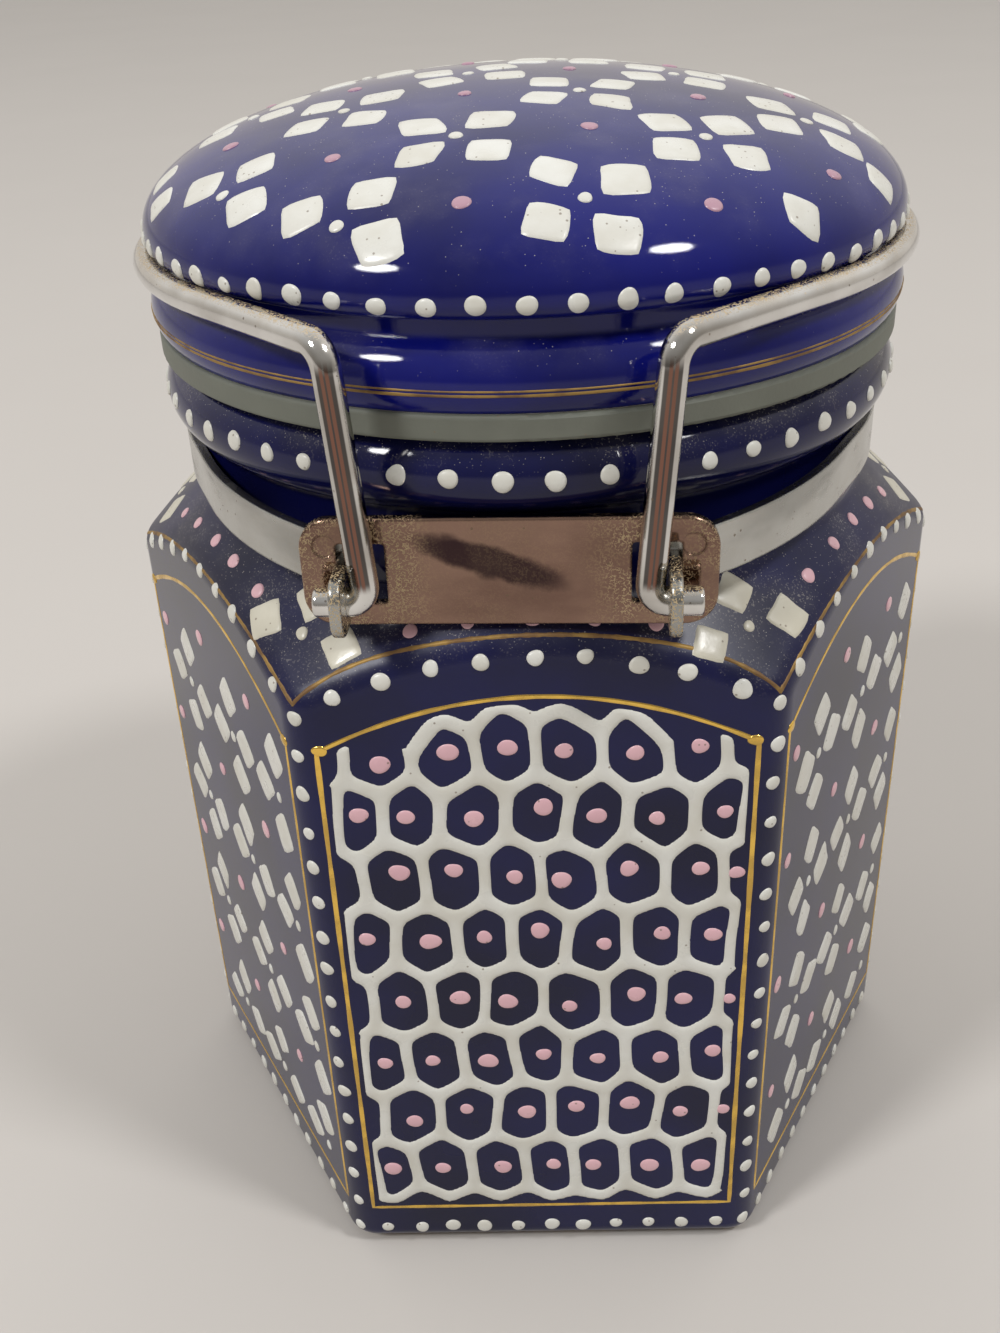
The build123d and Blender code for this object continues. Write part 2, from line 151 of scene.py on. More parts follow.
# Shared effects: a cloud's middle, and the sizes, levels and edges of specks, threads, drifts and scratches
CLOUD_MIDDLE = 0.5
SPECK_LEAST_SHARE, SPECK_CORE_SHARE = 0.35, 0.6
LINT_FINER = 1.7
LINT_LEVELS = (0.7, 0.3)
LINT_FADE = 0.06
LINT_WIDTH = (0.065, 0.025)
DRIFT_SCALE = 130
DRIFT_EDGE = (0.42, 0.72)
DUST_GRAIN_SHARE = 0.8
SCUFF_EDGE = 0.2

# Places of a Mix node's colour sockets
MIX_FIRST, MIX_SECOND, MIX_RESULT = 6, 7, 2

# How finely the enamel is meshed, how its outline waves, and how far its edge is sunk into the glaze
SPOT_SIDES = 24
RING_SHARES = (1.0, 0.93, 0.8, 0.55, 0.28)
RIBBON_SHARES = (-1.0, -0.6, 0.0, 0.6, 1.0)
SPOT_WAVE = (0.01, 0.05)
RIBBON_SLOW_WAVE, RIBBON_QUICK_WAVE = (0.1, 0.5), (0.08, 1.3)
SINK = 0.04 * MM
RAY_REACH = 8 * MM

# Seeds of the hand's unevenness
DOT_SEED, FLOWER_SEED, NET_SEED, GILT_SEED = 11, 23, 37, 53

# Rows of white dots: their heights, half-lengths, scales and starts, and how far a dot strays and varies
NECK_DOT_Z = RIM_Z - 4.3 * MM
LID_DOT_Z = DOME_Z - 0.5 * MM
BASE_DOT_Z = 4.1 * MM
ARCH_DOT_DROP = 1.1 * MM
ARCH_DOT_TILT = 0.45
BASE_ROW_HALF = 24.6 * MM
ARCH_ROW_HALF = 24 * MM
LID_DOT_SCALE, BASE_DOT_SCALE, CORNER_DOT_SCALE = 1.08, 0.95, 0.9
NECK_DOT_START, LID_DOT_START, CORNER_DOT_START = 0.5, 0.3, 0.2
DOT_STRAY = 0.25 * MM
DOT_SPREAD = 0.13

# Shape of a petal, and how a flower is laid out on a panel and on the shoulder
PETALS = 4
PETAL_POWER = 1.04
SHOULDER_POWER = 0.86
PETAL_FULLNESS = 4
PETAL_BLUNT = 0.11
PETAL_SWING_STRAY, PETAL_TWIST_STRAY = 0.1, 0.2
PETAL_REACH_SPREAD = 0.05
HEART_WIDTH_SHARE, HEART_HEIGHT_SHARE = 0.75, 0.7
PANEL_SPREAD = (0.93, 1.12)
SHOULDER_SPREAD = (1.08, 0.8)

# How near a petal's middle may come to the edge of its field
PETAL_DOME_CLEAR = 4.6 * MM
PETAL_SIDE_CLEAR = 3.2 * MM
PETAL_FOOT_CLEAR = 3.6 * MM
PETAL_ARCH_CLEAR = 3.8 * MM
PETAL_CORNER_CLEAR = 4.2 * MM

# The flowers' lattice on a panel: shares of its pitch, and room left at the sides and under the arch
PANEL_TOP_SHARE = 0.52
PANEL_SHIFT_SHARE = 0.2
PANEL_COLUMNS = range(-2, 3)
FLOWER_SIDE_ROOM = 3.5 * MM
GAP_SIDE_ROOM = 3 * MM
GAP_ARCH_ROOM = 7 * MM
PANEL_STRAY = 0.7 * MM
PANEL_TURN_STRAY = 0.08

# The flowers' lattice on the dome: one flower's place, and limits as shares of the dome's radius
DOME_FLOWER = Vector((7.4 * MM, -40.7 * MM))
DOME_STEPS = range(-6, 7)
DOME_WHOLE_SHARE = 0.957
DOME_CUT_SHARE = 1.13
DOME_GAP_SHARE, DOME_GAP_PULLED_SHARE = 0.945, 0.9
RIM_PETAL_SHARE, RIM_PETAL_PULLED_SHARE = 1.02, 0.955
RIM_PETAL_SCALES = (0.88, 0.8)
DOME_STRAY = 0.8 * MM
DOME_TURN_STRAY = 0.2

# Degrees by which each shoulder flower is set off its corner, and how far it lies in from the corner
SHOULDER_SWINGS = (-0.5, 1.2, -0.8, 0.6, -1.5, -2.5)
SHOULDER_FLOWER_IN = 6.0 * MM

# Kinds of net cell, and whether the wall between two kinds is drawn
OUTSIDE, CLOSED, OPEN_TOP, ABOVE = range(4)
WALL_DRAWN = np.array([[0, 1, 1, 0], [1, 1, 1, 1], [1, 1, 1, 0], [0, 1, 0, 0]], dtype=bool)

# The net's cells: shares of their pitch and rise, and how the rows crowd together and meet the arch
NET_SQUEEZE = np.array([1.0, 0.72])
NET_COLUMNS = range(-4, 5)
NET_LOW_SHARE = 0.82
NET_STRAY_SHARES = (0.1, 0.08)
NET_MIDDLE_SHARE = 0.6
NET_HALF_SHARE = 0.6
NET_CROWDING = 1.8 * MM
NET_EDGE_OUT = 0.7 * MM
NET_ARCH_DROP = 2.6 * MM

# The net's lines: how finely they are meshed, how they wander and how their corners are rounded
NET_STEP = 0.36 * MM
NET_WANDER, NET_QUICK_WANDER = 0.22 * MM, 0.11 * MM
NET_SLOW_WAVES = (2.9 * MM, 2.3 * MM)
NET_QUICK_WAVES = (1.3 * MM, 1.7 * MM)
NET_SHARPNESS = 3.2 / MM
NET_LEAST_TOTAL = 1e-30
NET_ROUND = 0.55 * MM
NET_GILT_GAP = 0.2 * MM

# Pink ovals: their scales, how far they stray, and the room left beside them
HALF_OVAL_SCALE, SHOULDER_OVAL_SCALE, LID_OVAL_SCALE = 0.8, 0.85, 0.8
OVAL_LENGTH_SHARE = 1.03
OVAL_SPREAD = 0.15
OVAL_STRAY = (0.7 * MM, 0.9 * MM)
GAP_OVAL_STRAY = 0.6 * MM
OVAL_SIDE_ROOM = 3.6 * MM
OVAL_ARCH_ROOM = 3.0 * MM
HALF_OVAL_SIDE_ROOM = 1.75 * MM

# The ovals over each arch: their steps, and how far out from the neck they lie in the middle and by square
SHOULDER_OVALS = range(-2, 3)
SHOULDER_OVAL_DEGREES = 8.5
SHOULDER_OVAL_STRAY_DEGREES = 0.6
SHOULDER_OVAL_OUT = 1.85 * MM
SHOULDER_OVAL_SWEEP = 0.42 * MM

# Gilt lines: steps along them, blobs at the arch's springs, and the two lines (height, width) on the lid
GILT_STEPS = 48
RING_STEPS = 180
BLOB_SIZE = (2.0 * MM, 1.5 * MM)
BLOB_IN_SHARE = 0.985
BLOB_RAISED = 0.2 * MM
BLOB_HEIGHT_SCALE = 2.2
ARCH_WIDTH_SHARE = 0.85
ARCH_HALF_DEGREES = 30.1
RING_LINES = ((2.3 * MM, 0.42 * MM), (2.8 * MM, 0.26 * MM))

# How far the gilt arches lie in from the edge, in millimetres at the middle and by powers 2 and 8 outwards
FRONT_INSETS = (1.2, 1.6, -2.2)
SIDE_INSETS = (-0.3, 0.9, 0.0)

# The floor and the lamps, whose ways and widths are shares of their distance
FLOOR_HALF = 3.0
FLOOR_CORNERS = ((-1, -1), (1, -1), (1, 1), (-1, 1))
LAMP_AWAY = 3.0
LAMP_AIM_Z = 90 * MM
LEFT_LAMP = ((-0.42, -0.34, 0.53), 0.14)
RIGHT_LAMP = ((0.36, -0.20, 0.57), 0.12)

# Where the sky pales upwards and strengthens backwards, and its strength in front and behind
SKY_RISE = (0.0, 0.75)
SKY_DEPTH = (-0.7, 0.7)
SKY_FRONT_SHARE, SKY_BACK_SHARE = 0.55, 1.42

# The camera's sensor in millimetres, and the nearest that it sees in metres
SENSOR_HEIGHT = 36
CLIP_START = 0.01


def length(name, millimetres, description):
    """A length property whose default is given in millimetres."""
    return bpy.props.FloatProperty(
        name=name, description=description, default=millimetres * MM, min=0, precision=5,
        subtype="DISTANCE", unit="LENGTH",
    )


def count(name, number, description):
    """A whole-number property."""
    return bpy.props.IntProperty(name=name, description=description, default=number, min=1)


def angle(name, degrees, description):
    """An angle property whose default is given in degrees."""
    return bpy.props.FloatProperty(
        name=name, description=description, default=math.radians(degrees),
        subtype="ANGLE", unit="ROTATION",
    )


def colour(name, red, green, blue, description):
    """A colour property in linear light."""
    return bpy.props.FloatVectorProperty(
        name=name, description=description, default=(red, green, blue), size=3, min=0, max=1,
        subtype="COLOR",
    )


def watts(name, number, description):
    """A lamp's power in watts."""
    return bpy.props.FloatProperty(name=name, description=description, default=number, unit="POWER")


class CanisterEnamel(bpy.types.PropertyGroup):
    """Sizes of the raised enamel and of the gilding."""
    dot_width: length("Dot width", 2.2, "Width of a white dot")
    dot_height: length("Dot height", 0.33, "How far a white dot stands up")
    dot_pitch: length("Dot pitch", 5.7, "Spacing of the dots down a corner")
    neck_dots: count("Neck dots", 52, "White dots round the neck bead")
    lid_dots: count("Lid dots", 59, "White dots round the lid's rim")
    base_dots: count("Base dots", 11, "White dots along the foot of each panel")
    arch_dots: count("Arch dots", 9, "White dots over each arch")
    petal_length: length("Petal length", 7.5, "Length of a petal")
    petal_width: length("Petal width", 6.8, "Width of a petal")
    petal_height: length("Petal height", 0.22, "How far a petal stands up")
    petal_reach: length("Petal reach", 5.5, "From a flower's middle to the middle of a petal")
    flower_pitch: length("Flower pitch", 19.4, "Spacing of the flowers on the dome")
    flower_turn: angle("Flower turn", 46, "Turn of the rows of flowers on the dome")
    column_pitch: length("Column pitch", 17.7, "Spacing of the flowers across a panel")
    row_pitch: length("Row pitch", 21.6, "Spacing of the flowers up a panel")
    pink_width: length("Pink width", 2.3, "Width of a pink oval")
    pink_height: length("Pink height", 0.24, "How far a pink oval stands up")
    net_pitch: length("Cell pitch", 7.7, "Spacing of the net's cells along a row")
    net_rise: length("Cell rise", 10.4, "Spacing of the net's rows")
    net_line: length("Line width", 1.62, "Width of the net's white lines")
    net_height: length("Line height", 0.22, "How far the net stands up")
    gold_width: length("Gilt width", 0.72, "Width of the gilt frame line")
    gold_height: length("Gilt height", 0.09, "How far the gilding stands up")
    panel_half: length("Panel half-width", 26.5, "From a panel's middle to its gilt line")
    panel_low: length("Panel foot", 8.5, "Height of the gilt line's foot")
    panel_side: length("Panel side", 90.4, "Height where the gilt arch springs")
    panel_top: length("Panel top", 97.5, "Height of the gilt arch's crown")


class CanisterFinish(bpy.types.PropertyGroup):
    """Colours of the finishes."""
    cobalt: colour("Cobalt", 0.0032, 0.0036, 0.025, "Glaze where it lies thick on the jar")
    cobalt_thin: colour("Thin cobalt", 0.0042, 0.0054, 0.058, "Glaze where it lies thin on the jar")
    cobalt_lid: colour("Lid cobalt", 0.0035, 0.0045, 0.078, "Glaze where it lies thick on the lid")
    cobalt_lid_thin: colour("Thin lid cobalt", 0.0045, 0.0065, 0.145, "Glaze where it lies thin on the lid")
    lining: colour("Lining", 0.62, 0.59, 0.52, "Clear glaze inside the jar and lid")
    clay: colour("Clay", 0.20, 0.125, 0.07, "Bare clay of the foot")
    white: colour("White enamel", 0.72, 0.72, 0.68, "Raised white enamel")
    white_aged: colour("Aged enamel", 0.47, 0.43, 0.33, "White enamel where it has yellowed")
    white_stained: colour("Stained enamel", 0.66, 0.63, 0.53, "White enamel of the dusty shoulder")
    pink: colour("Pink enamel", 0.74, 0.46, 0.50, "Raised pink enamel")
    pink_thin: colour("Thin pink", 0.60, 0.335, 0.40, "Pink enamel where it lies thin")
    lilac: colour("Lilac enamel", 0.45, 0.265, 0.33, "Pink enamel on the lid, over a darker blue")
    gold: colour("Gold", 0.92, 0.60, 0.13, "Bright gilding")
    gold_rubbed: colour("Rubbed gold", 0.17, 0.092, 0.034, "Gilding where it is rubbed")
    rubber: colour("Rubber", 0.125, 0.132, 0.108, "Seal ring")
    steel: colour("Steel", 0.52, 0.52, 0.495, "Galvanised neck band")
    # Painted reflection: the band's darker streak tone, which also darkens the grimy ears
    steel_reflection_streaks_and_grime: colour("Worn steel", 0.37, 0.37, 0.35, "Galvanised band where it is scuffed")
    # Painted reflection: the plating's brown tone stands for dark brown surroundings mirrored in it
    plate: colour("Plate", 0.27, 0.17, 0.13, "Plated hinge and keeper")
    # Painted reflection: the plating's darker streak tone, which also darkens the dusty ends
    plate_reflection_streaks_and_dust: colour("Worn plate", 0.19, 0.115, 0.09, "Plating where it is worn in streaks")
    # Painted reflection: the dark streak slanting across the hinge plate
    plate_painted_reflection: colour("Smoky plate", 0.045, 0.026, 0.028, "Plating where it has gone smoky")
    chrome: colour("Chrome", 0.78, 0.77, 0.75, "Plated wire")
    # Painted reflection: the wire's darker streak tone, which also darkens the dusty top of the wire
    chrome_reflection_streaks_and_dust: colour("Worn chrome", 0.52, 0.50, 0.47, "Wire where its plating is thin")
    # Painted reflection: the dark band and the brown line down the front of the bail's legs
    chrome_painted_dark_reflection: colour("Bare wire", 0.035, 0.03, 0.03, "Wire beside its rubbed line")
    chrome_painted_brown_reflection: colour("Rubbed chrome", 0.23, 0.115, 0.085, "Wire where its face is rubbed through")
    tarnish: colour("Tarnish", 0.17, 0.125, 0.085, "Dull metal in bends and pits")
    dust: colour("Dust", 0.47, 0.35, 0.19, "Settled dust")
    lint: colour("Lint", 0.46, 0.43, 0.39, "Fine dust on the glaze")
    floor: colour("Floor", 0.55, 0.52, 0.49, "Plain floor")


class CanisterStage(bpy.types.PropertyGroup):
    """Camera and light."""
    azimuth: angle("Azimuth", 1.964, "Camera's turn to the right of the front")
    elevation: angle("Elevation", 30.388, "Camera's height above the horizon")
    roll: angle("Roll", -2.576, "Camera's tilt in the picture")
    distance: length("Distance", 220.45, "Camera to its target")
    target: bpy.props.FloatVectorProperty(
        name="Target", description="Point that the camera looks at", size=3, subtype="XYZ", unit="LENGTH",
        default=(-5.68 * MM, 0, 72.03 * MM),
    )
    lens: bpy.props.FloatProperty(
        name="Lens", description="Focal length on a 36 mm long side", default=37.81, unit="CAMERA",
    )
    sky: bpy.props.FloatProperty(
        name="Sky", description="Strength of the soft surrounding light", default=0.72,
    )
    sky_low: colour("Low sky", 0.60, 0.56, 0.51, "Surrounding light from the horizon and below")
    sky_high: colour("High sky", 1.0, 0.985, 0.96, "Surrounding light from above")
    key: watts("Lamp", 23, "Power of the larger lamp")
    fill: watts("Fill", 15, "Power of the smaller lamp")


# Node trees

def plug(tree, socket, value):
    """Links an input to another node's output, or sets its value."""
    if isinstance(value, bpy.types.NodeSocket):
        tree.links.new(value, socket)
    else:
        socket.default_value = value


def node(tree, kind, sockets=None, **settings):
    """Adds a node, with its settings and with values or links for its inputs."""
    made = tree.nodes.new(kind)
    for key, value in settings.items():
        setattr(made, key, value)
    for key, value in (sockets or {}).items():
        plug(tree, made.inputs[key], value)
    return made


def math_node(tree, operation, first, second=0.0):
    """One sum, product or comparison of two values."""
    return node(tree, "ShaderNodeMath", {0: first, 1: second}, operation=operation).outputs[0]


def times(tree, first, *others):
    """The product of values."""
    for other in others:
        first = math_node(tree, "MULTIPLY", first, other)
    return first


def plus(tree, first, *others):
    """The sum of values."""
    for other in others:
        first = math_node(tree, "ADD", first, other)
    return first


def minus(tree, first, second):
    """One value less another."""
    return math_node(tree, "SUBTRACT", first, second)


def most(tree, first, second):
    """The larger of two values."""
    return math_node(tree, "MAXIMUM", first, second)


def unsigned(tree, value):
    """A value without its sign."""
    return math_node(tree, "ABSOLUTE", value)


def share_squared(tree, value, whole):
    """The square of a value as a share of a whole."""
    return math_node(tree, "POWER", math_node(tree, "DIVIDE", value, whole), 2)


def below(tree, value, limit):
    """1 where a value is below a limit."""
    return math_node(tree, "LESS_THAN", value, limit)


def above(tree, value, limit):
    """1 where a value is above a limit."""
    return math_node(tree, "GREATER_THAN", value, limit)


def mix(tree, share, first, second):
    """A colour between two colours, by a share from 0 to 1."""
    ends = [end if isinstance(end, bpy.types.NodeSocket) else (*end, 1) for end in (first, second)]
    sockets = {"Factor": share, MIX_FIRST: ends[0], MIX_SECOND: ends[1]}
    return node(tree, "ShaderNodeMix", sockets, data_type="RGBA", clamp_factor=True).outputs[MIX_RESULT]


def ramp(tree, value, low, high, start=0.0, end=1.0):
    """Maps a value between low and high smoothly onto start to end."""
    sockets = {"Value": value, "From Min": low, "From Max": high, "To Min": start, "To Max": end}
    return node(tree, "ShaderNodeMapRange", sockets, interpolation_type="SMOOTHSTEP").outputs["Result"]


def between(tree, share, start, end):
    """Maps a share from 0 to 1 smoothly onto start to end."""
    return ramp(tree, share, 0, 1, start, end)


def surface_place(tree):
    """The surface point in the object's own frame."""
    return node(tree, "ShaderNodeTexCoord").outputs["Object"]


def place_parts(tree):
    """The X, Y and Z of the surface point in the object's own frame."""
    return node(tree, "ShaderNodeSeparateXYZ", {"Vector": surface_place(tree)}).outputs


def facing_parts(tree):
    """The X, Y and Z of the way that the surface faces."""
    normal = node(tree, "ShaderNodeTexCoord").outputs["Normal"]
    return node(tree, "ShaderNodeSeparateXYZ", {"Vector": normal}).outputs


def axis_distance(tree, parts):
    """How far the surface point is from the upright axis."""
    squares = [times(tree, parts[axis], parts[axis]) for axis in "XY"]
    return math_node(tree, "SQRT", plus(tree, *squares))


def cloud(tree, place, scale, detail):
    """Soft noise from 0 to 1."""
    sockets = {"Vector": place, "Scale": scale, "Detail": detail}
    return node(tree, "ShaderNodeTexNoise", sockets).outputs["Fac"]


# Effects that the finishes share

def new_group(name, inputs, outputs):
    """A shader node group with named values in and out, and its two end nodes."""
    tree = bpy.data.node_groups.new("canister_" + name, "ShaderNodeTree")
    for label, default in inputs.items():
        socket = tree.interface.new_socket(label, in_out="INPUT", socket_type="NodeSocketFloat")
        socket.default_value = default
    for label in outputs:
        tree.interface.new_socket(label, in_out="OUTPUT", socket_type="NodeSocketFloat")
    return tree, tree.nodes.new("NodeGroupInput").outputs, tree.nodes.new("NodeGroupOutput").inputs


def effect(tree, name, **values):
    """Places a shared effect in a tree with its own values."""
    group = bpy.data.node_groups["canister_" + name]
    return node(tree, "ShaderNodeGroup", values, node_tree=group).outputs


def mottle_group():
    """Cloudy unevenness of a glaze, enamel or plating."""
    tree, given, out = new_group("mottle", {"Scale": 60, "Contrast": 0.2}, ["Mask"])
    tone = cloud(tree, surface_place(tree), given["Scale"], detail=4)
    low = minus(tree, CLOUD_MIDDLE, given["Contrast"])
    high = plus(tree, CLOUD_MIDDLE, given["Contrast"])
    plug(tree, out["Mask"], ramp(tree, tone, low, high))


def speck_group():
    """Scattered round specks, such as pinholes in enamel or grains of dust."""
    tree, given, out = new_group("specks", {"Scale": 800, "Size": 0.25, "Share": 0.2}, ["Mask"])
    sockets = {"Vector": surface_place(tree), "Scale": given["Scale"]}
    cells = node(tree, "ShaderNodeTexVoronoi", sockets).outputs
    parts = node(tree, "ShaderNodeSeparateColor", {"Color": cells["Color"]}).outputs
    chosen = below(tree, parts["Red"], given["Share"])
    own_size = times(tree, given["Size"], between(tree, parts["Green"], SPECK_LEAST_SHARE, 1))
    speck = ramp(tree, cells["Distance"], own_size, times(tree, own_size, SPECK_CORE_SHARE))
    plug(tree, out["Mask"], times(tree, speck, chosen))


def lint_group():
    """Short curly threads: lines where one cloud crosses its middle, broken up by a finer cloud."""
    tree, given, out = new_group("lint", {"Scale": 900, "Share": 0.5}, ["Mask"])
    place = surface_place(tree)
    off = unsigned(tree, minus(tree, cloud(tree, place, given["Scale"], detail=1), CLOUD_MIDDLE))
    breaks = cloud(tree, place, times(tree, given["Scale"], LINT_FINER), detail=0)
    level = between(tree, given["Share"], *LINT_LEVELS)
    shown = ramp(tree, breaks, level, plus(tree, level, LINT_FADE))
    plug(tree, out["Mask"], times(tree, ramp(tree, off, *LINT_WIDTH), shown))


def dust_group():
    """Dust that has settled on surfaces that face up, in a film, in grains and in threads."""
    tree, given, out = new_group("dust", {"Film": 0.2, "Grains": 0.3, "Scale": 900}, ["Mask"])
    upward = ramp(tree, facing_parts(tree)["Z"], *DUST_UP)
    drift = ramp(tree, cloud(tree, surface_place(tree), DRIFT_SCALE, detail=6), *DRIFT_EDGE)
    film = times(tree, drift, given["Film"])
    grains = effect(tree, "specks", Scale=given["Scale"], Share=given["Grains"])["Mask"]
    threads = effect(tree, "lint", Scale=1900, Share=0.4)["Mask"]
    threads = times(tree, threads, drift, given["Grains"])
    loose = most(tree, threads, times(tree, grains, DUST_GRAIN_SHARE))
    plug(tree, out["Mask"], times(tree, most(tree, film, loose), upward))


def scuff_group():
    """Fine scratches that run one way, as a mask and as a height."""
    tree, given, out = new_group("scuffs", {"Scale": 90, "Stretch": 14, "Level": 0.54}, ["Mask", "Height"])
    squeeze = node(tree, "ShaderNodeCombineXYZ", {"X": 1, "Y": 1, "Z": given["Stretch"]}).outputs[0]
    sockets = {0: surface_place(tree), 1: squeeze}
    drawn = node(tree, "ShaderNodeVectorMath", sockets, operation="MULTIPLY").outputs[0]
    scratches = cloud(tree, drawn, given["Scale"], detail=8)
    full = plus(tree, given["Level"], SCUFF_EDGE)
    plug(tree, out["Mask"], ramp(tree, scratches, given["Level"], full))
    plug(tree, out["Height"], scratches)


def mottle(tree, scale, contrast):
    """A cloudy mask."""
    return effect(tree, "mottle", Scale=scale, Contrast=contrast)["Mask"]


def specks(tree, scale, size, share):
    """A mask of specks."""
    return effect(tree, "specks", Scale=scale, Size=size, Share=share)["Mask"]


# Where the finishes change

def jar_inside(tree):
    """1 on the jar's inner wall, floor and mouth."""
    parts = place_parts(tree)
    facing = facing_parts(tree)
    turns = [times(tree, parts[axis], facing[axis]) for axis in "XY"]
    inward = below(tree, plus(tree, *turns), WALL_INWARD)
    floor = times(tree, above(tree, facing["Z"], FLOOR_UP), below(tree, parts["Z"], FLOOR_Z))
    return times(tree, most(tree, inward, floor), above(tree, parts["Z"], FOOT_Z))


def jar_foot(tree):
    """1 on the bare clay below the glaze line."""
    wander = times(tree, mottle(tree, scale=160, contrast=0.3), GLAZE_LINE_WANDER)
    return below(tree, place_parts(tree)["Z"], plus(tree, GLAZE_LINE_Z, wander))


def jar_shoulder(tree):
    """1 on the jar's shoulder and over its edge, where settled dust takes off the shine."""
    parts = place_parts(tree)
    under_neck = below(tree, parts["Z"], DULL_TOP_Z)
    outside = above(tree, axis_distance(tree, parts), DULL_LEAST_R)
    return times(tree, under_neck, outside, ramp(tree, facing_parts(tree)["Z"], *SHOULDER_UP))


def lid_inside(tree):
    """1 on the lid's hollow and on its spigot."""
    parts = place_parts(tree)
    rise = most(tree, minus(tree, parts["Z"], HOLLOW_Z), 0.0)
    across = share_squared(tree, axis_distance(tree, parts), HOLLOW_R)
    hollow = below(tree, plus(tree, across, share_squared(tree, rise, HOLLOW_RISE)), 1.0)
    return most(tree, hollow, below(tree, parts["Z"], SPIGOT_Z))


def plate_place(tree):
    """The surface point across from the middle of the hinge plate and up from its top edge."""
    parts = place_parts(tree)
    across = minus(tree, parts["X"], (PLATE_LOW[0] + PLATE_HIGH[0]) / 2)
    return across, minus(tree, parts["Z"], PLATE_HIGH[2])


def plate_painted_reflection_streak(tree):
    """1 on the painted dark reflection streak that slants down across the hinge plate."""
    across, up = plate_place(tree)
    across = minus(tree, across, REFLECTION_STREAK_MIDDLE[0])
    wander = times(tree, mottle(tree, scale=420, contrast=0.4), REFLECTION_STREAK_WANDER)
    up = minus(tree, plus(tree, up, wander), REFLECTION_STREAK_MIDDLE[1])
    up = plus(tree, up, times(tree, across, REFLECTION_STREAK_SLANT))
    along = share_squared(tree, across, REFLECTION_STREAK_HALF[0])
    return ramp(tree, plus(tree, along, share_squared(tree, up, REFLECTION_STREAK_HALF[1])), *REFLECTION_STREAK_EDGE)


def plate_ends(tree):
    """1 round the ears at both ends of the hinge plate, where dust gathers."""
    across, _ = plate_place(tree)
    ends = ramp(tree, unsigned(tree, across), *PLATE_END, *PLATE_END_SHARES)
    return times(tree, ends, mottle(tree, scale=190, contrast=0.22))


def ear_grime(tree):
    """1 on the band's ears, in front of the hinge plate, and faint on the rest of the band."""
    ears = below(tree, place_parts(tree)["Y"], PLATE_LOW[1])
    return most(tree, ears, times(tree, mottle(tree, scale=110, contrast=0.2), BAND_GRIME_SHARE))


def wire_top(tree):
    """1 along the top of the wire, where dust gathers."""
    return ramp(tree, facing_parts(tree)["Z"], *WIRE_UP)


def leg_painted_reflection(tree):
    """Painted reflection: the dark band and the brown line in it, down the front of the bail's two legs."""
    parts = place_parts(tree)
    straight = times(tree, parts["X"], math.cos(CLASP_TURN))
    across = plus(tree, straight, times(tree, parts["Y"], math.sin(CLASP_TURN)))
    rise = minus(tree, parts["Z"], LEG_FOOT_Z)
    middle = plus(tree, times(tree, rise, LEG_SPLAY), LEG_FOOT_X)
    off = unsigned(tree, minus(tree, unsigned(tree, across), middle))
    front = below(tree, facing_parts(tree)["Y"], LEG_FRONT)
    shown = times(tree, front, ramp(tree, rise, *LEG_LOW_END), ramp(tree, rise, *LEG_HIGH_END))
    band = ramp(tree, off, *LEG_DARK_REFLECTION_EDGE)
    line = times(tree, ramp(tree, off, *LEG_BROWN_REFLECTION_OUTER), ramp(tree, off, *LEG_BROWN_REFLECTION_INNER))
    return times(tree, band, shown), times(tree, line, shown)


# Finishes

def new_material(name):
    """An empty material with its shader, ready for its inputs."""
    made = bpy.data.materials.new(name)
    made.use_nodes = True
    tree = made.node_tree
    return made, tree, tree.nodes["Principled BSDF"]


def feed(tree, shader, **sockets):
    """Links or sets the shader's inputs, named with underscores for spaces."""
    for key, value in sockets.items():
        plug(tree, shader.inputs[key.replace("_", " ")], value)


def bump(tree, height, strength, distance, rounding=0.0):
    """A normal that follows a height mask, on edges softened over a width if one is given."""
    sockets = {"Height": height, "Strength": strength, "Distance": distance}
    if rounding:
        softened = node(tree, "ShaderNodeBevel", {"Radius": rounding}, samples=ROUND_SAMPLES)
        sockets["Normal"] = softened.outputs["Normal"]
    return node(tree, "ShaderNodeBump", sockets).outputs["Normal"]


def glaze(name, look, blues, film, grains, inside, bare=None, dull=None):
    """Glossy cobalt glaze with dust as film and grains, and masks for its clear lining and, on the jar,
    for its bare foot and dull shoulder."""
    made, tree, shader = new_material(name)
    face = mix(tree, mottle(tree, scale=45, contrast=0.22), *blues)
    dust = effect(tree, "dust", Film=film, Grains=grains, Scale=3100)["Mask"]
    face = mix(tree, dust, face, look.lint)
    face = mix(tree, inside(tree), face, look.lining)
    rough = between(tree, dust, *GLAZE_ROUGH)
    if dull:
        rough = most(tree, rough, times(tree, dull(tree), SHOULDER_ROUGH))
    if bare:
        foot = bare(tree)
        face = mix(tree, foot, face, look.clay)
        rough = most(tree, rough, times(tree, foot, CLAY_ROUGH))
    ripple = mottle(tree, scale=120, contrast=0.4)
    soft = bump(tree, ripple, strength=0.12, distance=0.06 * MM, rounding=GLAZE_ROUND)
    feed(tree, shader, Base_Color=face, Roughness=rough, Normal=soft, IOR=GLAZE_IOR)
    return made


def enamel(name, fresh, aged, look, pricked=0.22):
    """Raised enamel, satin, cloudy and pricked with fine specks."""
    made, tree, shader = new_material(name)
    tone = mottle(tree, scale=170, contrast=0.3)
    face = mix(tree, times(tree, tone, AGED_SHARE), fresh, aged)
    pits = specks(tree, scale=1500, size=0.3, share=pricked)
    face = mix(tree, times(tree, pits, PIT_SHARE), face, look.tarnish)
    wave = bump(tree, mottle(tree, scale=700, contrast=0.4), strength=0.35, distance=0.08 * MM)
    feed(tree, shader, Base_Color=face, Roughness=between(tree, tone, *ENAMEL_ROUGH), Normal=wave)
    return made


